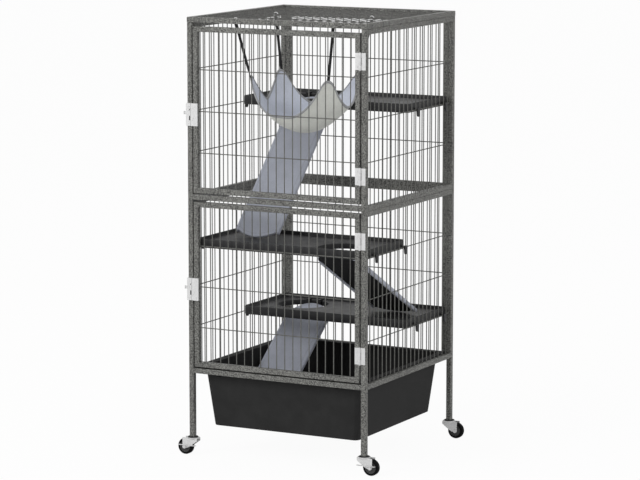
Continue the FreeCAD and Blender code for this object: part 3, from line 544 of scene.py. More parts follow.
def thicken(piece: Piece, thick: float, other_side: int = 0, rim: int = 0) -> None:
    """Gives a cloth its thickness, on the side away from its normals.

    Args:
        piece: The cloth.
        thick: Thickness in metres.
        other_side: Material slots to move on by on the new side.
        rim: Material slots to move on by along the cut edge.
    """
    solid = piece.modifiers.new("thickness", "SOLIDIFY")
    solid.thickness = thick
    solid.offset = -1.0
    solid.use_even_offset = True
    solid.material_offset = other_side
    solid.material_offset_rim = rim


def take_place(piece: Piece, body: Body, slot: str, *nodes: str) -> None:
    """Lets a piece ride on a body and stand for CAD nodes, and reports it.

    Args:
        piece: The new piece.
        body: Body that it rides on.
        slot: Not used.
        *nodes: CAD nodes that it stands for.
    """
    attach(piece, body.value)
    if nodes:
        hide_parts(*nodes)
    sides = [round(side / MM) for side in piece.dimensions]
    LOG.info("%s: %d faces, %s mm", piece.name, len(piece.data.polygons), sides)


@dataclass(frozen=True)
class Lamp:
    """Square soft lamp that points at the middle of the cage; place and side in metres, power in watts."""

    name: str
    place: Triple
    side: float
    power: float

    def build(self, aim: Vector) -> None:
        """Sets up the lamp.

        Args:
            aim: Point that it shines at.
        """
        data = bpy.data.lights.new(self.name, "AREA")
        data.size = self.side
        data.energy = self.power
        lamp = bpy.data.objects.new(self.name, data)
        lamp.location = self.place
        lamp.rotation_euler = (aim - Vector(self.place)).to_track_quat("-Z", "Y").to_euler()
        bpy.context.scene.collection.objects.link(lamp)


@dataclass
class Studio:
    """Camera at the photograph's angle, soft lamps and a white floor, in metres."""

    eye: Vector = Vector((4.169155, -7.901103, 1.982812))
    aim: Vector = Vector((-0.045554, 0.067356, 0.629397))
    lens: float = 166.49
    sensor: float = 36.0
    sight: float = 200.0
    lamp_aim: Vector = Vector((0.0, 0.0, 0.65))
    lamps: tuple[Lamp, ...] = (
        Lamp("key_lamp", (-2.6, -5.2, 3.6), 2.6, 150.0),
        Lamp("right_lamp", (5.5, -2.2, 2.6), 2.6, 36.0),
    )
    even_light: float = 0.62
    floor_size: float = 120.0
    floor_drop: float = 0.4 * MM
    floor_colour: Colour = (0.9, 0.9, 0.9, 1.0)
    floor_glow: float = 0.95

    def camera(self) -> None:
        """Sets the camera."""
        data = bpy.data.cameras.new("camera")
        data.lens = self.lens
        data.sensor_width = self.sensor
        data.sensor_fit = "HORIZONTAL"
        data.clip_end = self.sight
        camera = bpy.data.objects.new("camera", data)
        camera.location = self.eye
        camera.rotation_euler = (self.aim - self.eye).to_track_quat("-Z", "Y").to_euler()
        bpy.context.scene.collection.objects.link(camera)
        bpy.context.scene.camera = camera

    def seen_directly(self, tree: Tree) -> Socket:
        """Adds a value that is 1 for what the camera, mirrors and glass see.

        Args:
            tree: Node tree of the floor or the world.

        Returns:
            The socket with the value.
        """
        path = tree.nodes.new("ShaderNodeLightPath")
        total = path.outputs["Is Camera Ray"]
        for name in ("Is Glossy Ray", "Is Transmission Ray"):
            node = tree.nodes.new("ShaderNodeMath")
            node.operation = "MAXIMUM"
            tree.links.new(total, node.inputs[0])
            tree.links.new(path.outputs[name], node.inputs[1])
            total = node.outputs[0]
        return total

    def mix(self, tree: Tree, share: Socket, plain: bpy.types.Node, seen: bpy.types.Node) -> None:
        """Joins two shaders and ends the tree with them.

        Args:
            tree: Node tree of the floor or the world.
            share: Share of the second shader.
            plain: Shader that lights the cage or takes its shadow.
            seen: Shader that shows white.
        """
        mix = tree.nodes.new("ShaderNodeMixShader")
        tree.links.new(share, mix.inputs[0])
        tree.links.new(plain.outputs[0], mix.inputs[1])
        tree.links.new(seen.outputs[0], mix.inputs[2])
        end = next(node for node in tree.nodes if node.type in ("OUTPUT_WORLD", "OUTPUT_MATERIAL"))
        tree.links.new(mix.outputs[0], end.inputs["Surface"])

    def world(self) -> None:
        """Lights the scene evenly from all sides, and shows white behind it."""
        world = bpy.data.worlds.new("studio")
        bpy.context.scene.world = world
        world.use_nodes = True
        tree = world.node_tree
        even = tree.nodes["Background"]
        even.inputs["Color"].default_value = WHITE
        even.inputs["Strength"].default_value = self.even_light
        white = tree.nodes.new("ShaderNodeBackground")
        white.inputs["Color"].default_value = WHITE
        white.inputs["Strength"].default_value = 1.0
        self.mix(tree, self.seen_directly(tree), even, white)

    def floor(self) -> None:
        """Lays the white floor, which keeps a faint shadow."""
        half = self.floor_size / 2
        corners = ((-half, -half), (half, -half), (half, half), (-half, half))
        points = [Vector((x, y, -self.floor_drop)) for x, y in corners]
        floor = mesh_piece("studio_floor", points, [[0, 1, 2, 3]])
        material = bpy.data.materials.new("studio_floor")
        material.use_nodes = True
        tree = material.node_tree
        matt = tree.nodes["Principled BSDF"]
        matt.inputs["Base Color"].default_value = self.floor_colour
        matt.inputs["Roughness"].default_value = 1.0
        matt.inputs["Specular IOR Level"].default_value = 0.0
        white = tree.nodes.new("ShaderNodeEmission")
        share = tree.nodes.new("ShaderNodeMath")
        share.operation = "MULTIPLY"
        share.inputs[1].default_value = self.floor_glow
        tree.links.new(self.seen_directly(tree), share.inputs[0])
        self.mix(tree, share.outputs[0], matt, white)
        floor.data.materials.append(material)

    def build(self) -> None:
        """Sets up the whole studio."""
        bpy.context.scene.view_settings.view_transform = "Standard"
        self.camera()
        self.world()
        for lamp in self.lamps:
            lamp.build(self.lamp_aim)
        self.floor()


def rounded_rectangle(low: Vector, high: Vector, radius: float, steps: int, z: float) -> Loop:
    """Walks round a rectangle with rounded corners.

    Args:
        low: Lowest corner in plan.
        high: Highest corner in plan.
        radius: Corner radius.
        steps: Faces of each corner.
        z: Height of the loop.

    Returns:
        The points, anticlockwise from above.
    """
    corners = (
        (high.x - radius, high.y - radius, 0),
        (low.x + radius, high.y - radius, 90),
        (low.x + radius, low.y + radius, 180),
        (high.x - radius, low.y + radius, 270),
    )
    loop = []
    for x, y, start in corners:
        for step in range(steps + 1):
            angle = math.radians(start + 90 * step / steps)
            loop.append(Vector((x + radius * math.cos(angle), y + radius * math.sin(angle), z)))
    return loop


def circle(middle: Vector, radius: float, steps: int, z: float) -> Loop:
    """Walks round a circle in plan.

    Args:
        middle: Middle of the circle.
        radius: Its radius.
        steps: Number of points.
        z: Height of the loop.

    Returns:
        The points, anticlockwise from above.
    """
    angles = [2 * math.pi * step / steps for step in range(steps)]
    return [Vector((middle.x + radius * math.cos(a), middle.y + radius * math.sin(a), z)) for a in angles]


@dataclass
class MeshParts:
    """Points and faces of a mesh under construction."""

    points: list[Vector] = field(default_factory=list)
    faces: list[list[int]] = field(default_factory=list)

    def add(self, points: Sequence[Vector], faces: Faces) -> None:
        """Adds points and the faces between them.

        Args:
            points: Vertices.
            faces: Vertex numbers, counted from the first of these points.
        """
        first = len(self.points)
        self.points.extend(points)
        self.faces.extend([[first + index for index in face] for face in faces])

    def add_loops(self, loops: Sequence[Loop], closed: bool) -> None:
        """Adds a surface of four-sided faces through loops.

        Args:
            loops: Loops of equal length, one after another.
            closed: Whether each loop runs back to its start.
        """
        count = len(loops[0])
        last = count if closed else count - 1
        faces = []
        for near in range(0, (len(loops) - 1) * count, count):
            far = near + count
            for step in range(last):
                after = (step + 1) % count
                faces.append([near + step, near + after, far + after, far + step])
        self.add([point for loop in loops for point in loop], faces)

    def add_bar(self, loops: Sequence[Loop]) -> None:
        """Adds a bar through closed loops, with a face at each end.

        Args:
            loops: Loops of equal length, one after another.
        """
        self.add_loops(loops, True)
        end = list(range(len(loops[0])))
        self.add(loops[0], [end])
        self.add(loops[-1], [end])

    def add_pan(self, outer: Loop, hole: Loop) -> None:
        """Fills the flat ring between an outer loop and a hole.

        Args:
            outer: Outer loop.
            hole: Loop of the hole.
        """
        body = bmesh.new()
        edges = []
        for loop in (outer, hole):
            verts = [body.verts.new(point) for point in loop]
            edges += [body.edges.new((verts[i], verts[(i + 1) % len(verts)])) for i in range(len(verts))]
        bmesh.ops.triangle_fill(body, use_beauty=True, edges=edges)
        body.verts.index_update()
        points = [vert.co.copy() for vert in body.verts]
        faces = [[vert.index for vert in face.verts] for face in body.faces]
        body.free()
        self.add(points, faces)

    def piece(self, name: str) -> Piece:
        """Makes the mesh object."""
        return mesh_piece(name, self.points, self.faces)


@dataclass
class StitchRow:
    """Row of short sewing stitches that lie on a cloth."""

    name: str
    stitch: float = 3.0 * MM
    pitch: float = 5.0 * MM
    thick: float = 0.45 * MM
    full: float = 0.28
    sides: int = 6

    def one(self, parts: MeshParts, middle: Vector, run: Vector, normal: Vector) -> None:
        """Adds one stitch, full in its middle and sunk into the cloth at its ends.

        Args:
            parts: Mesh to add it to.
            middle: Its middle on the cloth.
            run: Direction along the seam.
            normal: Direction out of the cloth.
        """
        side = run.cross(normal).normalized()
        lift = middle + normal * self.thick * 0.5
        points = [lift - run * self.stitch / 2 - normal * self.thick]
        for share in (-self.full, self.full):
            for step in range(self.sides):
                angle = 2 * math.pi * step / self.sides
                rim = side * math.cos(angle) + normal * math.sin(angle)
                points.append(lift + run * self.stitch * share + rim * self.thick)
        points.append(lift + run * self.stitch / 2 - normal * self.thick)
        near, far, end = 1, 1 + self.sides, 1 + 2 * self.sides
        faces = []
        for step in range(self.sides):
            after = (step + 1) % self.sides
            faces.append([0, near + after, near + step])
            faces.append([near + step, near + after, far + after, far + step])
            faces.append([far + step, far + after, end])
        parts.add(points, faces)

    def build(self, path: Sequence[tuple[Vector, Vector]]) -> Piece:
        """Sews along a path.

        Args:
            path: Point on the cloth and its normal, one after another.

        Returns:
            The row as one piece.
        """
        parts = MeshParts()
        due = self.pitch / 2
        for (start, normal), (end, _) in zip(path, path[1:]):
            reach = (end - start).length
            if reach < POINT_WELD:
                continue
            run = (end - start) / reach
            while due < reach:
                self.one(parts, start + run * due, run, normal.normalized())
                due += self.pitch
            due -= reach
        row = parts.piece(self.name)
        WARDROBE.dress(row, Finish.THREAD)
        return row


@dataclass
class CagePaint:
    """Finishes of the CAD nodes by the endings of their names, and the widths of their eased edges."""

    finishes: tuple[tuple[str, Finish], ...] = (
        ("_frame", Finish.FRAME),
        ("_rails", Finish.FRAME),
        ("_wires", Finish.WIRE),
        ("_shelf", Finish.SHELF),
        ("_pan", Finish.PAN),
        ("_joiners", Finish.PAN),
        ("_stems", Finish.PAN),
        ("_board", Finish.BOARD),
        ("_wheel", Finish.TYRE),
        ("_pads", Finish.TYRE),
        ("_cover", Finish.RAMP_CLOTH),
        ("_straps", Finish.STRAP),
        ("hammock", Finish.HAMMOCK_OUT),
    )
    eased: tuple[tuple[str, float], ...] = (
        ("_leaves", 0.35 * MM),
        ("_pins", 0.4 * MM),
        ("_housings", 0.6 * MM),
        ("_catch", 0.6 * MM),
        ("_bolt", 0.3 * MM),
        ("_fork", 0.45 * MM),
        ("_axle", 0.4 * MM),
        ("_brake", 0.4 * MM),
        ("_pads", 0.8 * MM),
        ("_pan", 1.3 * MM),
        ("_board", 0.8 * MM),
        ("_stems", 0.5 * MM),
    )
    weld: float = 0.004 * MM
    flat_angle: float = math.radians(0.4)
    edge_angle: float = math.radians(40)
    edge_steps: int = 2

    def finish_of(self, node: str) -> Finish:
        """Chooses the finish of a node by its name.

        Args:
            node: Name of the CAD node.

        Returns:
            Its finish: zinc plate where no ending fits.
        """
        for ending, finish in self.finishes:
            if node.endswith(ending):
                return finish
        return Finish.PLATED

    def ease(self, node: Piece, width: float) -> None:
        """Breaks the sharp edges of a node.

        Args:
            node: Object of the CAD node.
            width: Width of the broken edge in metres.
        """
        weld = node.modifiers.new("weld", "WELD")
        weld.merge_threshold = self.weld
        flat = node.modifiers.new("flat", "DECIMATE")
        flat.decimate_type = "DISSOLVE"
        flat.angle_limit = self.flat_angle
        edge = node.modifiers.new("edge", "BEVEL")
        edge.width = width
        edge.segments = self.edge_steps
        edge.limit_method = "ANGLE"
        edge.angle_limit = self.edge_angle

    def build(self) -> None:
        """Dresses every CAD node."""
        for name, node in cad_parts.items():
            finish = self.finish_of(name)
            WARDROBE.dress(node, finish)
            for ending, width in self.eased:
                if name.endswith(ending):
                    self.ease(node, width)
            LOG.info("%s: %s", name, finish.name.lower())


@dataclass
class Shelf:
    """Moulded shelf with a rounded lip, a collared ramp hole and four wire clips, in millimetres."""

    name: str
    facing: Facing
    wire_z: float
    half: float = 283.0
    deep: float = 275.0
    front_at_back: float = 8.0
    front_at_front: float = -282.0
    corner: float = 12.0
    least_corner: float = 2.0
    corner_steps: int = 8
    drop: float = 6.0
    floor: float = 16.0
    under: float = 13.0
    hole_r: float = 79.0
    hole_wall: float = 3.0
    hole_aside: float = 162.0
    hole_shift: float = 30.0
    hole_steps: int = 96
    wire_first: float = -260.3
    wire_pitch: float = 27.4
    wire_gaps: int = 19
    clip_front: float = 55.0
    clip_back: float = 28.0
    bar_root: float = 280.5
    bar_end: float = 292.6
    bar_half: float = 5.0
    bar_low: float = 1.8
    bar_high: float = 4.8
    tongue_half: float = 9.0
    tongue_edge: float = 0.6
    tongue_tip: float = 6.4
    tongue_drop: float = 18.6
    tongue_steps: int = 12

    @property
    def bottom(self) -> float:
        """Height of the skirt's lower edge."""
        return self.wire_z - self.drop

    @property
    def front(self) -> float:
        """Place of the front edge."""
        return self.front_at_back if self.facing is Facing.BACK else self.front_at_front

    def rim_profile(self) -> list[Pair]:
        """Gives inset and height of the rim's section, from under the floor over the lip to the floor."""
        floor, under = self.floor, self.under
        return [
            (5.0, under), (3.4, under - 0.5), (3.0, under - 2.0), (3.0, 0.7), (2.5, 0.0), (0.6, 0.0),
            (0.0, 0.7), (0.0, 23.6), (0.35, 25.4), (1.3, 26.7), (2.2, 27.0), (3.1, 26.6), (3.7, 25.4),
            (4.1, 23.6), (4.6, floor + 3.2), (5.2, floor + 1.2), (6.4, floor + 0.3), (8.2, floor),
        ]

    def hole_profile(self) -> list[Pair]:
        """Gives radius and height of the collar's section, from the floor down and back under it."""
        hole, wall = self.hole_r, self.hole_r + self.hole_wall
        floor, under = self.floor, self.under
        return [
            (hole + 2.2, floor), (hole + 0.9, floor - 0.3), (hole + 0.2, floor - 1.1), (hole, floor - 2.2),
            (hole, 0.7), (hole + 0.5, 0.0), (wall - 0.5, 0.0), (wall, 0.7), (wall, under - 1.6),
            (wall + 0.4, under - 0.4), (wall + 1.6, under),
        ]

    def tray(self, parts: MeshParts) -> None:
        """Adds the tray with its hole.

        Args:
            parts: Mesh to add it to.
        """
        low = Vector((-self.half, self.front, 0.0))
        high = Vector((self.half, self.front + self.deep, 0.0))
        rims = []
        for inset, height in self.rim_profile():
            margin = Vector((inset, inset, 0.0))
            radius = max(self.corner - inset, self.least_corner)
            z = self.bottom + height
            loop = rounded_rectangle(low + margin, high - margin, radius, self.corner_steps, z)
            rims.append([point * MM for point in loop])
        facing = self.facing.value
        hole_y = self.front + self.deep / 2 + facing * self.hole_shift
        middle = Vector((-facing * self.hole_aside, hole_y, 0.0))
        collars = []
        for radius, height in self.hole_profile():
            loop = circle(middle, radius, self.hole_steps, self.bottom + height)
            collars.append([point * MM for point in loop])
        parts.add_loops(rims, True)
        parts.add_loops(collars, True)
        parts.add_pan(rims[-1], collars[0])
        parts.add_pan(rims[0], collars[-1])

    def nearest_gap(self, y: float) -> float:
        """Gives the middle of the gap between side wires that is nearest to a place."""
        first = self.wire_first + self.wire_pitch / 2
        step = min(max(round((y - first) / self.wire_pitch), 0), self.wire_gaps - 1)
        return first + step * self.wire_pitch

    def clip_bar(self, parts: MeshParts, side: int, y: float) -> None:
        """Adds a clip's bar, which lies over the cross wire.

        Args:
            parts: Mesh to add it to.
            side: -1 for the left side, 1 for the right side.
            y: Middle of the clip.
        """
        low, high = self.wire_z + self.bar_low, self.wire_z + self.bar_high
        left, right = y - self.bar_half, y + self.bar_half
        ring = ((left, low), (right, low), (right, high), (left, high))
        ends = (self.bar_root, self.bar_end)
        parts.add_bar([[Vector((side * x, a, b)) * MM for a, b in ring] for x in ends])

    def clip_tongue(self, parts: MeshParts, side: int, y: float) -> None:
        """Adds a clip's rounded tongue, which hangs outside the wires.

        Args:
            parts: Mesh to add it to.
            side: -1 for the left side, 1 for the right side.
            y: Middle of the clip.
        """
        half, edge, tip = self.tongue_half, self.tongue_edge, self.tongue_tip
        outline = [(-half, 0.0), (edge - half, edge), (half - edge, edge), (half, 0.0)]
        for step in range(self.tongue_steps + 1):
            angle = math.pi * step / self.tongue_steps
            outline.append((tip * math.cos(angle), -self.tongue_drop - tip * math.sin(angle)))
        top = self.wire_z + self.bar_high - edge
        layers = ((292.5, 0.7), (292.9, 0.15), (293.4, 0.0), (297.2, 0.0), (297.8, 0.3), (298.0, 1.0))
        rings = []
        for x, shrink in layers:
            ring = []
            for a, b in outline:
                z = top + b + (shrink if b < 0 else -shrink)
                ring.append(Vector((side * x, y + a * (1 - shrink / half), z)) * MM)
            rings.append(ring)
        parts.add_bar(rings)

    def build(self) -> None:
        """Builds the shelf in place of its CAD node."""
        parts = MeshParts()
        self.tray(parts)
        for side in (-1, 1):
            for y in (self.front + self.clip_front, self.front + self.deep - self.clip_back):
                gap = self.nearest_gap(y)
                self.clip_bar(parts, side, gap)
                self.clip_tongue(parts, side, gap)
        shelf = parts.piece(f"{self.name}_shelf_moulding")
        sharpen(shelf)
        WARDROBE.dress(shelf, Finish.SHELF)
        take_place(shelf, Body.CAGE, "shelf_plastic", f"{self.name}_shelf")


@dataclass
class Wheel:
    """Caster wheel with a rubber tyre round a moulded hub, in millimetres."""

    corner: str
    radius: float = 25.0
    hub: float = 18.0
    post: float = 292.0
    trail: float = 24.0
    steps: int = 64

    def profile(self) -> list[Pair]:
        """Gives radius and half-width place of the half section, from the bore outwards."""
        return [
            (2.55, 9.0), (6.6, 9.0), (7.0, 8.6), (7.2, 6.6), (8.0, 6.0), (15.4, 6.0), (16.2, 6.4),
            (16.6, 7.4), (17.6, 7.9), (self.hub, 8.3), (21.0, 8.5), (23.2, 8.1), (24.3, 7.0), (24.9, 5.2),
            (self.radius, 2.6), (self.radius, 0.0),
        ]

    def build(self) -> None:
        """Builds the wheel in place of its CAD node."""
        side = 1 if "right" in self.corner else -1
        depth = 1 if "back" in self.corner else -1
        middle = Vector((side * (self.post + self.trail), depth * self.post, self.radius))
        half = self.profile()
        section = half + [(radius, -reach) for radius, reach in reversed(half[:-1])]
        loops = []
        for radius, reach in section:
            loop = []
            for step in range(self.steps):
                angle = 2 * math.pi * step / self.steps
                offset = Vector((radius * math.cos(angle), reach, radius * math.sin(angle)))
                loop.append((middle + offset) * MM)
            loops.append(loop)
        parts = MeshParts()
        parts.add_loops(loops + loops[:1], True)
        wheel = parts.piece(f"{self.corner}_wheel_and_tyre")
        WARDROBE.dress(wheel, Finish.HUB, Finish.TYRE)
        for polygon in wheel.data.polygons:
            offset = polygon.center / MM - middle
            polygon.material_index = 1 if math.hypot(offset.x, offset.z) > self.hub else 0
        sharpen(wheel)
        take_place(wheel, Body(f"{self.corner}_roller"), "wheel_rubber", f"{self.corner}_wheel")


@dataclass(frozen=True)
class Mark:
    """Bead on a latch: each end aside from the seam and up from the latch's middle, in millimetres."""

    start: Pair
    end: Pair
    radius: float


@dataclass
class LatchMarks:
    """Near-black beads of painted shade that stand for the shaded slots, and raised ribs stamped on the two
    slide latches, in millimetres.
    """

    heights: tuple[tuple[str, float], ...] = (("upper", 1040.5), ("lower", 512.0))
    seam: float = -286.7
    front: float = -305.4
    slot_shade_proud: float = 0.14
    rib_proud: float = 0.6
    turn_steps: int = 8
    # Slots drawn as near-black beads of painted shade on the latch's face, where the real slots lie in shade.
    slots: tuple[Mark, ...] = (
        Mark((-2.4, -15.5), (-2.4, -5.0), 1.9),
        Mark((-4.2, 12.5), (-1.6, 17.0), 1.0),
    )
    ribs: tuple[Mark, ...] = (
        Mark((-12.0, 0.5), (-6.0, 0.5), 0.8),
        Mark((-12.0, 4.5), (-6.0, 4.5), 0.8),
        Mark((-12.0, 8.5), (-6.0, 8.5), 0.8),
        Mark((-12.2, 19.5), (-1.8, 19.5), 0.8),
    )
    creases: tuple[Mark, ...] = (
        Mark((5.0, -20.0), (13.0, -4.0), 0.9),
        Mark((13.0, -4.0), (5.5, 10.0), 0.9),
        Mark((3.0, 19.5), (19.0, 19.5), 0.8),
    )

    def bead(self, parts: MeshParts, mark: Mark, height: float, proud: float) -> None:
        """Adds a rounded bead that lies on the front of a latch.

        Args:
            parts: Mesh to add it to.
            mark: Ends and half width of the bead.
            height: Height of the latch's middle.
            proud: How far the bead stands out.
        """
        places = (mark.start, mark.end)
        low, high = [Vector((self.seam + aside, self.front, height + rise)) for aside, rise in places]
        run = (high - low).normalized()
        out = Vector((0.0, -1.0, 0.0))
        side = run.cross(out).normalized()
        rows = []
        for lift, share in ((-0.2, 1.0), (0.55, 0.9), (0.9, 0.6), (1.0, 0.15)):
            ring = []
            for end, start in ((high, -90), (low, 90)):
                for step in range(self.turn_steps + 1):
                    angle = math.radians(start + 180 * step / self.turn_steps)
                    offset = run * math.cos(angle) + side * math.sin(angle)
                    ring.append((end + offset * mark.radius * share + out * proud * lift) * MM)
            rows.append(ring)
        parts.add_bar(rows)

    def piece(
        self,
        name: str,
        body: Body,
        finish: Finish,
        marks: Sequence[Mark],
        heights: Sequence[float],
        proud: float,
    ) -> None:
        """Builds marks as one piece.

        Args:
            name: Name of the piece.
            body: Body that it rides on.
            finish: Finish of the marks.
            marks: The marks of one latch.
            heights: Height of each latch that has them.
            proud: How far they stand out.
        """
        parts = MeshParts()
        for height in heights:
            for mark in marks:
                self.bead(parts, mark, height, proud)
        piece = parts.piece(name)
        WARDROBE.dress(piece, finish)
        take_place(piece, body, "plated_steel")

    def build(self) -> None:
        """Builds the marks of both latches."""
        both = [height for _, height in self.heights]
        # The slots are painted shade: near-black beads that lie on the latch's face.
        self.piece("latch_slot_shades", Body.CAGE, Finish.SLOT_SHADE, self.slots, both, self.slot_shade_proud)
        self.piece("latch_ribs", Body.CAGE, Finish.PLATED, self.ribs, both, self.rib_proud)
        for name, height in self.heights:
            door = Body(f"{name}_door")
            self.piece(f"{name}_catch_crease", door, Finish.PLATED, self.creases, [height], self.rib_proud)


@dataclass(frozen=True)
class EdgeStep:
    """Step along a ramp's edge: its place, the outward direction and the share of the rail there."""

    x: float
    y: float
    out_x: float
    out_y: float
    rail: float

    def moved(self, reach: float) -> Pair:
        """Gives the place moved outwards."""
        return (self.x + self.out_x * reach, self.y + self.out_y * reach)


@dataclass
class RampCover:
    """Fleece sleeve of one ramp, drawn round the edges and turned in under the side rails, in millimetres."""

    name: str
    body: Body
    facing: Facing
    floor: float
    target: float
    run: float
    hole_y: float
    flat: Pair
    area: float
    half: float = 73.0
    below: float = 10.0
    tip_reach: float = 69.0
    hole_aside: float = 162.0
    board: float = 6.0
    rail: float = 9.0
    rail_back: float = 20.0
    sagitta: float = 28.0
    skin: float = 2.1
    gap: float = 0.3
    thick: float = 1.6
    top: float = 2.8
    swell: float = 0.9
    ripple: float = 0.5
    ripple_pitch: float = 50.0
    foot_hem: float = -4.6
    core: Pair = (-2.4, -4.2)
    seam: float = 9.5
    thread_lift: float = 0.1
    edge_step: float = 9.0
    tip_steps: int = 24
    rail_fade: int = 4
    foot_fade: int = 6
    foot_steps: int = 20
    angle: float = field(init=False)
    length: float = field(init=False)
    rail_end: float = field(init=False)

    def __post_init__(self) -> None:
        """Works out slope and length as the board has them."""
        drop = self.floor - self.below - self.target
        self.angle = math.atan2(drop, self.run)
        reach = drop - self.board * math.cos(self.angle) - self.gap
        self.length = reach / math.sin(self.angle) - self.skin
        self.rail_end = self.rail_back - self.length

    @property
    def up(self) -> Vector:
        """Direction out of the ramp's top face."""
        return self.placed(0, 0, 1000) - self.placed(0, 0, 0)

    def placed(self, x: float, y: float, z: float) -> Vector:
        """Moves a point from the ramp's own plane to its place.

        Args:
            x: Across the ramp.
            y: Along the ramp, 0 at the tip and negative down the run.
            z: Above the board's top face.

        Returns:
            The point in metres.
        """
        turn = self.facing.value
        along = y * math.cos(self.angle) - z * math.sin(self.angle) + self.tip_reach
        height = y * math.sin(self.angle) + z * math.cos(self.angle) + self.floor - self.below
        return Vector((turn * x - turn * self.hole_aside, self.hole_y + turn * along, height)) * MM

    def section(self, share: float) -> list[Pair]:
        """Gives outward reach and height of the sleeve's edge, from its hem up to the top.

        Args:
            share: 1 along the rails and 0 round the tip, where there are none.

        Returns:
            The points of the section.
        """
        deep = -self.rail
        railed = [
            (-6.9, -6.6), (-6.9, deep + 0.6), (-6.2, deep - 1.1), (-3.5, deep - 1.8), (0.4, deep - 1.7),
            (1.9, deep + 0.2), (2.3, deep * 0.55), (2.3, -2.2),
        ]
        bare = [
            (1.0, -6.2), (1.1, -6.2), (1.2, -6.1), (1.4, -6.0), (1.7, -5.7),
            (2.1, -5.0), (2.4, -3.8), (2.3, -2.0),
        ]
        over = [(1.5, 0.4), (-0.6, 1.8), (-4.0, 2.5), (-9.0, self.top)]
        sides = [
            (share * a + (1 - share) * c, share * b + (1 - share) * d) for (a, b), (c, d) in zip(railed, bare)
        ]
        return sides + over

    def edge_path(self) -> list[EdgeStep]:
        """Walks up the left edge from the end of its rail to the tip."""
        path = []
        straight = -self.half - self.rail_end
        steps = round(straight / self.edge_step)
        for step in range(steps + 1):
            path.append(EdgeStep(-self.half, self.rail_end + straight * step / steps, -1.0, 0.0, 1.0))
        for step in range(1, self.tip_steps + 1):
            turn = math.radians(180 - 90 * step / self.tip_steps)
            x, y = math.cos(turn), math.sin(turn)
            rail = max(0.0, 1 - step / self.rail_fade)
            path.append(EdgeStep(self.half * x, self.half * y - self.half, x, y, rail))
        return path

    def foot(self, x: float) -> float:
        """Gives the place along the ramp of the board's curved foot at a place across it."""
        return self.sagitta * (x / self.half) ** 2 - self.length

    def crown(self, x: float, y: float) -> float:
        """Gives the height of the sleeve's softly swelling top at a place."""
        share = 1.0 - (x / self.half) ** 2
        wave = noise.noise(Vector((x / self.ripple_pitch, y / self.ripple_pitch, self.floor)))
        return self.top + (self.swell + self.ripple * wave) * share

    def across(self, inner: float) -> list[float]:
        """Gives the places across the top between two opposite edges, from left to right."""
        shares = (0.012, 0.03, 0.07, 0.14, 0.22, 0.3, 0.4, 0.5, 0.6, 0.7, 0.78, 0.86, 0.93, 0.97, 0.988)
        return [inner * (1 - 2 * share) for share in shares]

    def row(self, rim: list[Triple], top: list[Triple]) -> Loop:
        """Joins the left edge, the top and the mirrored right edge to one row.

        Args:
            rim: Points of the left edge, from its hem up.
            top: Points across the top.

        Returns:
            The row in metres.
        """
        mirrored = [(-x, y, z) for x, y, z in reversed(rim)]
        return [self.placed(*point) for point in rim + top + mirrored]

    def end_rows(self) -> list[Loop]:
        """Gives the rows that close the rails' ends and turn down round the foot, from the hem up."""
        turns = ((2.0, self.foot_hem, 1.0), (2.1, -1.2, 0.97), (1.8, 1.0, 0.35), (1.0, 2.2, 0.1))
        core_reach, core_height = self.core
        section = self.section(1.0)
        inner = -self.half - section[-1][0]
        rows = []
        for reach, height, closed in turns:
            rim = []
            for side, z in section:
                near = side + (core_reach - side) * closed
                rim.append((-self.half - near, self.rail_end - reach, z + (core_height - z) * closed))
            rise = (height - self.foot_hem) / (self.top - self.foot_hem)
            top = []
            for x in self.across(inner):
                slope = math.atan(2 * self.sagitta * x / self.half ** 2)
                y = self.foot(x)
                z = height + (self.crown(x, y) - self.top) * rise
                top.append((x + math.sin(slope) * reach, y - math.cos(slope) * reach, z))
            rows.append(self.row(rim, top))
        return rows

    def rows(self) -> list[Loop]:
        """Gives the sleeve's points, one row across for each step from foot to tip."""
        rows = self.end_rows()
        for index, step in enumerate(self.edge_path()):
            rim = [(*step.moved(reach), z) for reach, z in self.section(step.rail)]
            inner_x, inner_y, _ = rim[-1]
            share = max(0.0, 1 - index / self.foot_fade)
            top = []
            for x in self.across(inner_x):
                y = inner_y + (self.foot(x) - self.rail_end) * share
                top.append((x, y, self.crown(x, y)))
            rows.append(self.row(rim, top))
        return rows

    def stitches(self) -> None:
        """Sews the sleeve down all round the edge of its top."""
        left = [step.moved(-self.seam) for step in self.edge_path()]
        right = [(-x, y) for x, y in reversed(left)]
        edge = self.half - self.seam
        places = [edge * (1 - 2 * step / self.foot_steps) for step in range(self.foot_steps + 1)]
        foot = [(x, self.foot(x) + self.seam) for x in places]
        up = self.up
        path = [(self.placed(x, y, self.crown(x, y) + self.thread_lift), up) for x, y in left + right + foot]
        row = StitchRow(f"{self.name}_ramp_stitches").build(path)
        take_place(row, self.body, "ramp_cloth")

    def build(self) -> None:
        """Builds the sleeve in place of its CAD node."""
        parts = MeshParts()
        parts.add_loops(self.rows(), False)
        cover = sheet_piece(f"{self.name}_ramp_fleece", parts.points, parts.faces, self.up)
        thicken(cover, self.thick * MM)
        WARDROBE.dress(cover, Finish.RAMP_CLOTH)
        take_place(cover, self.body, "ramp_cloth", f"{self.name}_ramp_cover")
        self.stitches()


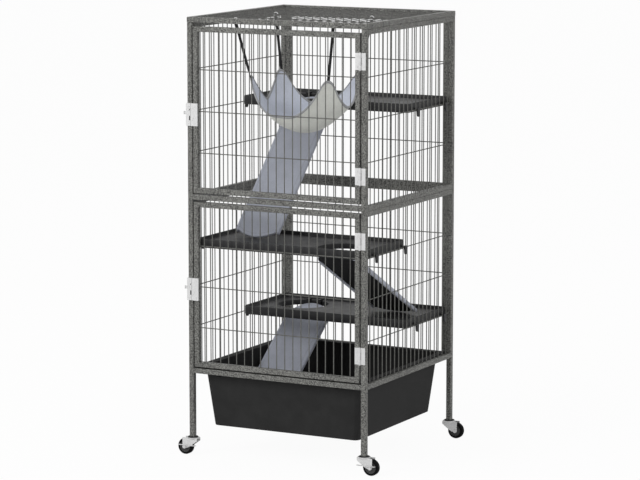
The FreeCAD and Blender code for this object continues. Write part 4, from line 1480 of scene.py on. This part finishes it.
@dataclass
class Hammock:
    """Fleece hammock with bound edges, hung by four straps from rings on the roof wires, in millimetres."""

    middle: Vector = Vector((-12.5, -96.0, 1181.0))
    half_length: float = 137.0
    half_width: float = 102.0
    bow: float = 3.0
    bow_lean: float = 11.0
    waist: float = 3.0
    waist_lean: float = 5.0
    lobe_steep: float = 2.2
    left_vee: float = 0.75
    vee_round: float = 0.06
    long_sag: float = 132.5
    long_lean: float = 10.5
    short_sag: float = 109.0
    short_lean: float = 5.0
    crown: float = 43.5
    ripple: float = 1.6
    corner: float = 26.0
    thick: float = 2.2
    hem: float = 7.0
    seam: float = 2.0
    seam_inside: float = 1.25
    seam_outside: float = 3.45
    flat: Pair = (0.365, 0.248)
    columns: int = 72
    rows: int = 56
    ring_z: float = 1314.35
    ring_x: Pair = (-178.1, 150.7)
    ring_y: Pair = (-220.0, 30.0)
    strap_half: float = 4.5
    strap_thick: float = 1.8
    strap_edge: float = 0.3
    strap_loop: float = 2.3
    strap_settle: float = 1.4
    strap_sewn: float = 1.1
    tail: float = 30.0
    tail_gap: float = 1.0
    tail_steps: int = 6
    loop_steps: int = 10
    fall_steps: int = 24

    def surface(self, along: float, across: float) -> Vector:
        """Gives a point of the hanging cloth.

        Args:
            along: Share of the half length, -1 to 1.
            across: Share of the half width, -1 to 1.

        Returns:
            The point in millimetres.
        """
        lobe = min(1.0, max(0.0, -3 * along)) * max(0.0, -across) ** 2
        fall = 1 - abs(along) ** (2 + self.lobe_steep * lobe)
        dip = 1 - math.hypot(across, self.vee_round) ** (2 - self.left_vee * max(0.0, -along) ** 3)
        long_sag = self.long_sag - self.long_lean * across
        short_sag = self.short_sag + self.short_lean * along
        x = along * (self.half_length + (self.bow + self.bow_lean * along) * dip)
        y = across * (self.half_width - (self.waist + self.waist_lean * across) * fall)
        fold = self.ripple * noise.noise(Vector((along * 2.1, across * 2.4, 3.7))) * (0.3 + dip)
        z = -long_sag * fall - short_sag * dip + self.crown * fall * dip + fold
        return self.middle + Vector((x, y, z))

    def rounded(self, along: float, across: float) -> Pair:
        """Rounds the corners of the flat cloth.

        Args:
            along: Share of the half length, -1 to 1.
            across: Share of the half width, -1 to 1.

        Returns:
            The shares with the corner squares drawn in to quarter circles.
        """
        reach_x = self.corner / self.half_length
        reach_y = self.corner / self.half_width
        x = (abs(along) - (1 - reach_x)) / reach_x
        y = (abs(across) - (1 - reach_y)) / reach_y
        if x <= 0 or y <= 0:
            return along, across
        round_x = x * math.sqrt(1 - y * y / 2)
        round_y = y * math.sqrt(1 - x * x / 2)
        new_x = math.copysign(1 - reach_x + round_x * reach_x, along)
        new_y = math.copysign(1 - reach_y + round_y * reach_y, across)
        return new_x, new_y

    def point(self, along: float, across: float) -> Vector:
        """Gives a point of the finished cloth in millimetres, with its rounded corners."""
        return self.surface(*self.rounded(along, across))

    def normal(self, along: float, across: float) -> Vector:
        """Gives the upward normal of the cloth at a place."""
        a, b = self.rounded(along, across)
        step = 0.004
        run = self.surface(a + step, b) - self.surface(a - step, b)
        rise = self.surface(a, b + step) - self.surface(a, b - step)
        return run.cross(rise).normalized()

    def border(self) -> list[Pair]:
        """Walks once round the edge of the cloth, in shares of its half sizes."""
        front = [(2 * step / self.columns - 1, -1.0) for step in range(self.columns)]
        right = [(1.0, 2 * step / self.rows - 1) for step in range(self.rows)]
        return front + right + [(-a, -b) for a, b in front] + [(-a, -b) for a, b in right]

    def cloth(self) -> Piece:
        """Builds the cloth, lavender inside and warm grey outside."""
        shares = [2 * column / self.columns - 1 for column in range(self.columns + 1)]
        loops = []
        for row in range(self.rows + 1):
            loops.append([self.point(along, 2 * row / self.rows - 1) * MM for along in shares])
        parts = MeshParts()
        parts.add_loops(loops, False)
        cloth = sheet_piece("hammock_cloth", parts.points, parts.faces, Vector((0, 0, 1)))
        thicken(cloth, self.thick * MM, other_side=1, rim=2)
        WARDROBE.dress(cloth, Finish.HAMMOCK_IN, Finish.HAMMOCK_OUT, Finish.HAMMOCK_HEM)
        take_place(cloth, Body.CAGE, "hammock_cloth", "hammock")
        return cloth

    def binding(self) -> list[Piece]:
        """Builds the folded binding round the edge, with a row of stitches on each side."""
        hem = self.hem
        section = [
            (hem, 0.5), (hem - 0.5, 1.0), (hem * 0.5, 1.3), (1.0, 1.4), (-0.8, 0.6), (-1.3, -1.1),
            (-0.8, -2.8), (1.0, -3.6), (hem * 0.5, -3.5), (hem - 0.5, -3.2), (hem, -2.7),
        ]
        inner = 0.96
        loops, inside, outside = [], [], []
        for along, across in self.border():
            edge = self.point(along, across)
            inward = (self.point(along * inner, across * inner) - edge).normalized()
            normal = self.normal(along, across)
            loops.append([(edge + inward * a + normal * b) * MM for a, b in section])
            seam = edge + inward * (hem - self.seam)
            inside.append(((seam + normal * self.seam_inside) * MM, normal))
            outside.append(((seam - normal * self.seam_outside) * MM, -normal))
        parts = MeshParts()
        parts.add_loops(loops + loops[:1], True)
        binding = parts.piece("hammock_binding")
        WARDROBE.dress(binding, Finish.HAMMOCK_HEM)
        take_place(binding, Body.CAGE, "hammock_cloth")
        pieces = [binding]
        for name, path in (("inside", inside), ("outside", outside)):
            thread = StitchRow(f"hammock_{name}_stitches", stitch=2.6 * MM, pitch=4.4 * MM, thick=0.4 * MM)
            row = thread.build(path + path[:1])
            take_place(row, Body.CAGE, "hammock_cloth")
            pieces.append(row)
        return pieces

    def strap_path(self, sign_x: int, sign_y: int) -> list[tuple[Vector, Vector]]:
        """Gives the line of one strap and the direction of its width.

        Args:
            sign_x: -1 for the left corners, 1 for the right ones.
            sign_y: -1 for the front corners, 1 for the back ones.

        Returns:
            Point and width direction, from the sewn tail over the ring down into the binding.
        """
        ring = Vector((self.ring_x[(sign_x + 1) // 2], self.ring_y[(sign_y + 1) // 2], self.ring_z))
        wide = Vector((1.0, 0.0, 0.0))
        lobe = self.point(sign_x, sign_y)
        out = -self.normal(sign_x, sign_y)
        pull = (lobe - ring).normalized()
        behind = pull.cross(wide).normalized()
        loop, path = self.strap_loop, []
        for step in range(self.tail_steps + 1):
            share = step / self.tail_steps
            spread = self.tail_gap + (loop - self.tail_gap) * min(1.0, share * 1.5)
            path.append((ring + pull * self.tail * (1 - share) + behind * spread, wide))
        for step in range(1, self.loop_steps):
            angle = math.pi * step / self.loop_steps
            path.append((ring + behind * loop * math.cos(angle) - pull * loop * math.sin(angle), wide))
        first = ring - behind * loop
        last = lobe + out * self.strap_sewn
        side = (last - first).normalized().cross(out).normalized()
        if side.dot(wide) < 0:
            side = -side
        for step in range(self.fall_steps + 1):
            share = step / self.fall_steps
            settle = behind * self.strap_settle * min(1.0, share * 6) * (1 - share)
            turn = max(0.0, 4 * share - 3)
            path.append((first.lerp(last, share) + settle, wide.lerp(side, turn).normalized()))
        for share in (0.99, 0.98, 0.97):
            along, across = sign_x * share, sign_y * share
            path.append((self.point(along, across) - self.normal(along, across) * self.strap_sewn, side))
        return path

    def strap(self, parts: MeshParts, sign_x: int, sign_y: int) -> None:
        """Adds one strap as a flat band with rounded edges.

        Args:
            parts: Mesh to add it to.
            sign_x: -1 for the left corners, 1 for the right ones.
            sign_y: -1 for the front corners, 1 for the back ones.
        """
        path = self.strap_path(sign_x, sign_y)
        half, thick = self.strap_half, self.strap_thick / 2
        flat = half - self.strap_edge
        section = [(-half, 0.0), (-flat, thick), (flat, thick), (half, 0.0), (flat, -thick), (-flat, -thick)]
        loops = []
        for index, (middle, wide) in enumerate(path):
            before = path[max(index - 1, 0)][0]
            after = path[min(index + 1, len(path) - 1)][0]
            run = (after - before).normalized()
            face = run.cross(wide).normalized()
            across = face.cross(run).normalized()
            loops.append([(middle + across * a + face * b) * MM for a, b in section])
        parts.add_bar(loops)

    def build(self) -> None:
        """Builds the cloth, its binding and its straps."""
        cloth = self.cloth()
        pieces = self.binding()
        parts = MeshParts()
        for sign_x in (-1, 1):
            for sign_y in (-1, 1):
                self.strap(parts, sign_x, sign_y)
        straps = parts.piece("hammock_webbing")
        sharpen(straps)
        WARDROBE.dress(straps, Finish.STRAP)
        take_place(straps, Body.CAGE, "strap_webbing", "hammock_straps")


def ramp_covers() -> list[RampCover]:
    """Gives the sleeves of the three ramps, from the top down."""
    return [
        RampCover(
            "upper", Body.UPPER_RAMP, Facing.BACK,
            floor=1060.0, target=653.5, run=386.0, hole_y=175.5, flat=(0.195, 0.562), area=0.1018,
        ),
        RampCover(
            "middle", Body.MIDDLE_RAMP, Facing.FRONT,
            floor=653.5, target=404.5, run=445.0, hole_y=-174.5, flat=(0.195, 0.508), area=0.0914,
        ),
        RampCover(
            "lower", Body.LOWER_RAMP, Facing.BACK,
            floor=404.5, target=91.0, run=402.0, hole_y=175.5, flat=(0.195, 0.510), area=0.0917,
        ),
    ]


def main() -> None:
    """Builds the scene in order."""
    logging.basicConfig(level=logging.INFO, format="%(name)s %(message)s")
    Studio().build()
    CagePaint().build()
    Shelf("upper", Facing.BACK, wire_z=1050.0).build()
    Shelf("middle", Facing.FRONT, wire_z=643.5).build()
    Shelf("lower", Facing.BACK, wire_z=394.5).build()
    for cover in ramp_covers():
        cover.build()
    Hammock().build()
    LatchMarks().build()
    for corner in ("front_left", "front_right", "back_left", "back_right"):
        Wheel(corner).build()


if __name__ == "__main__":
    main()
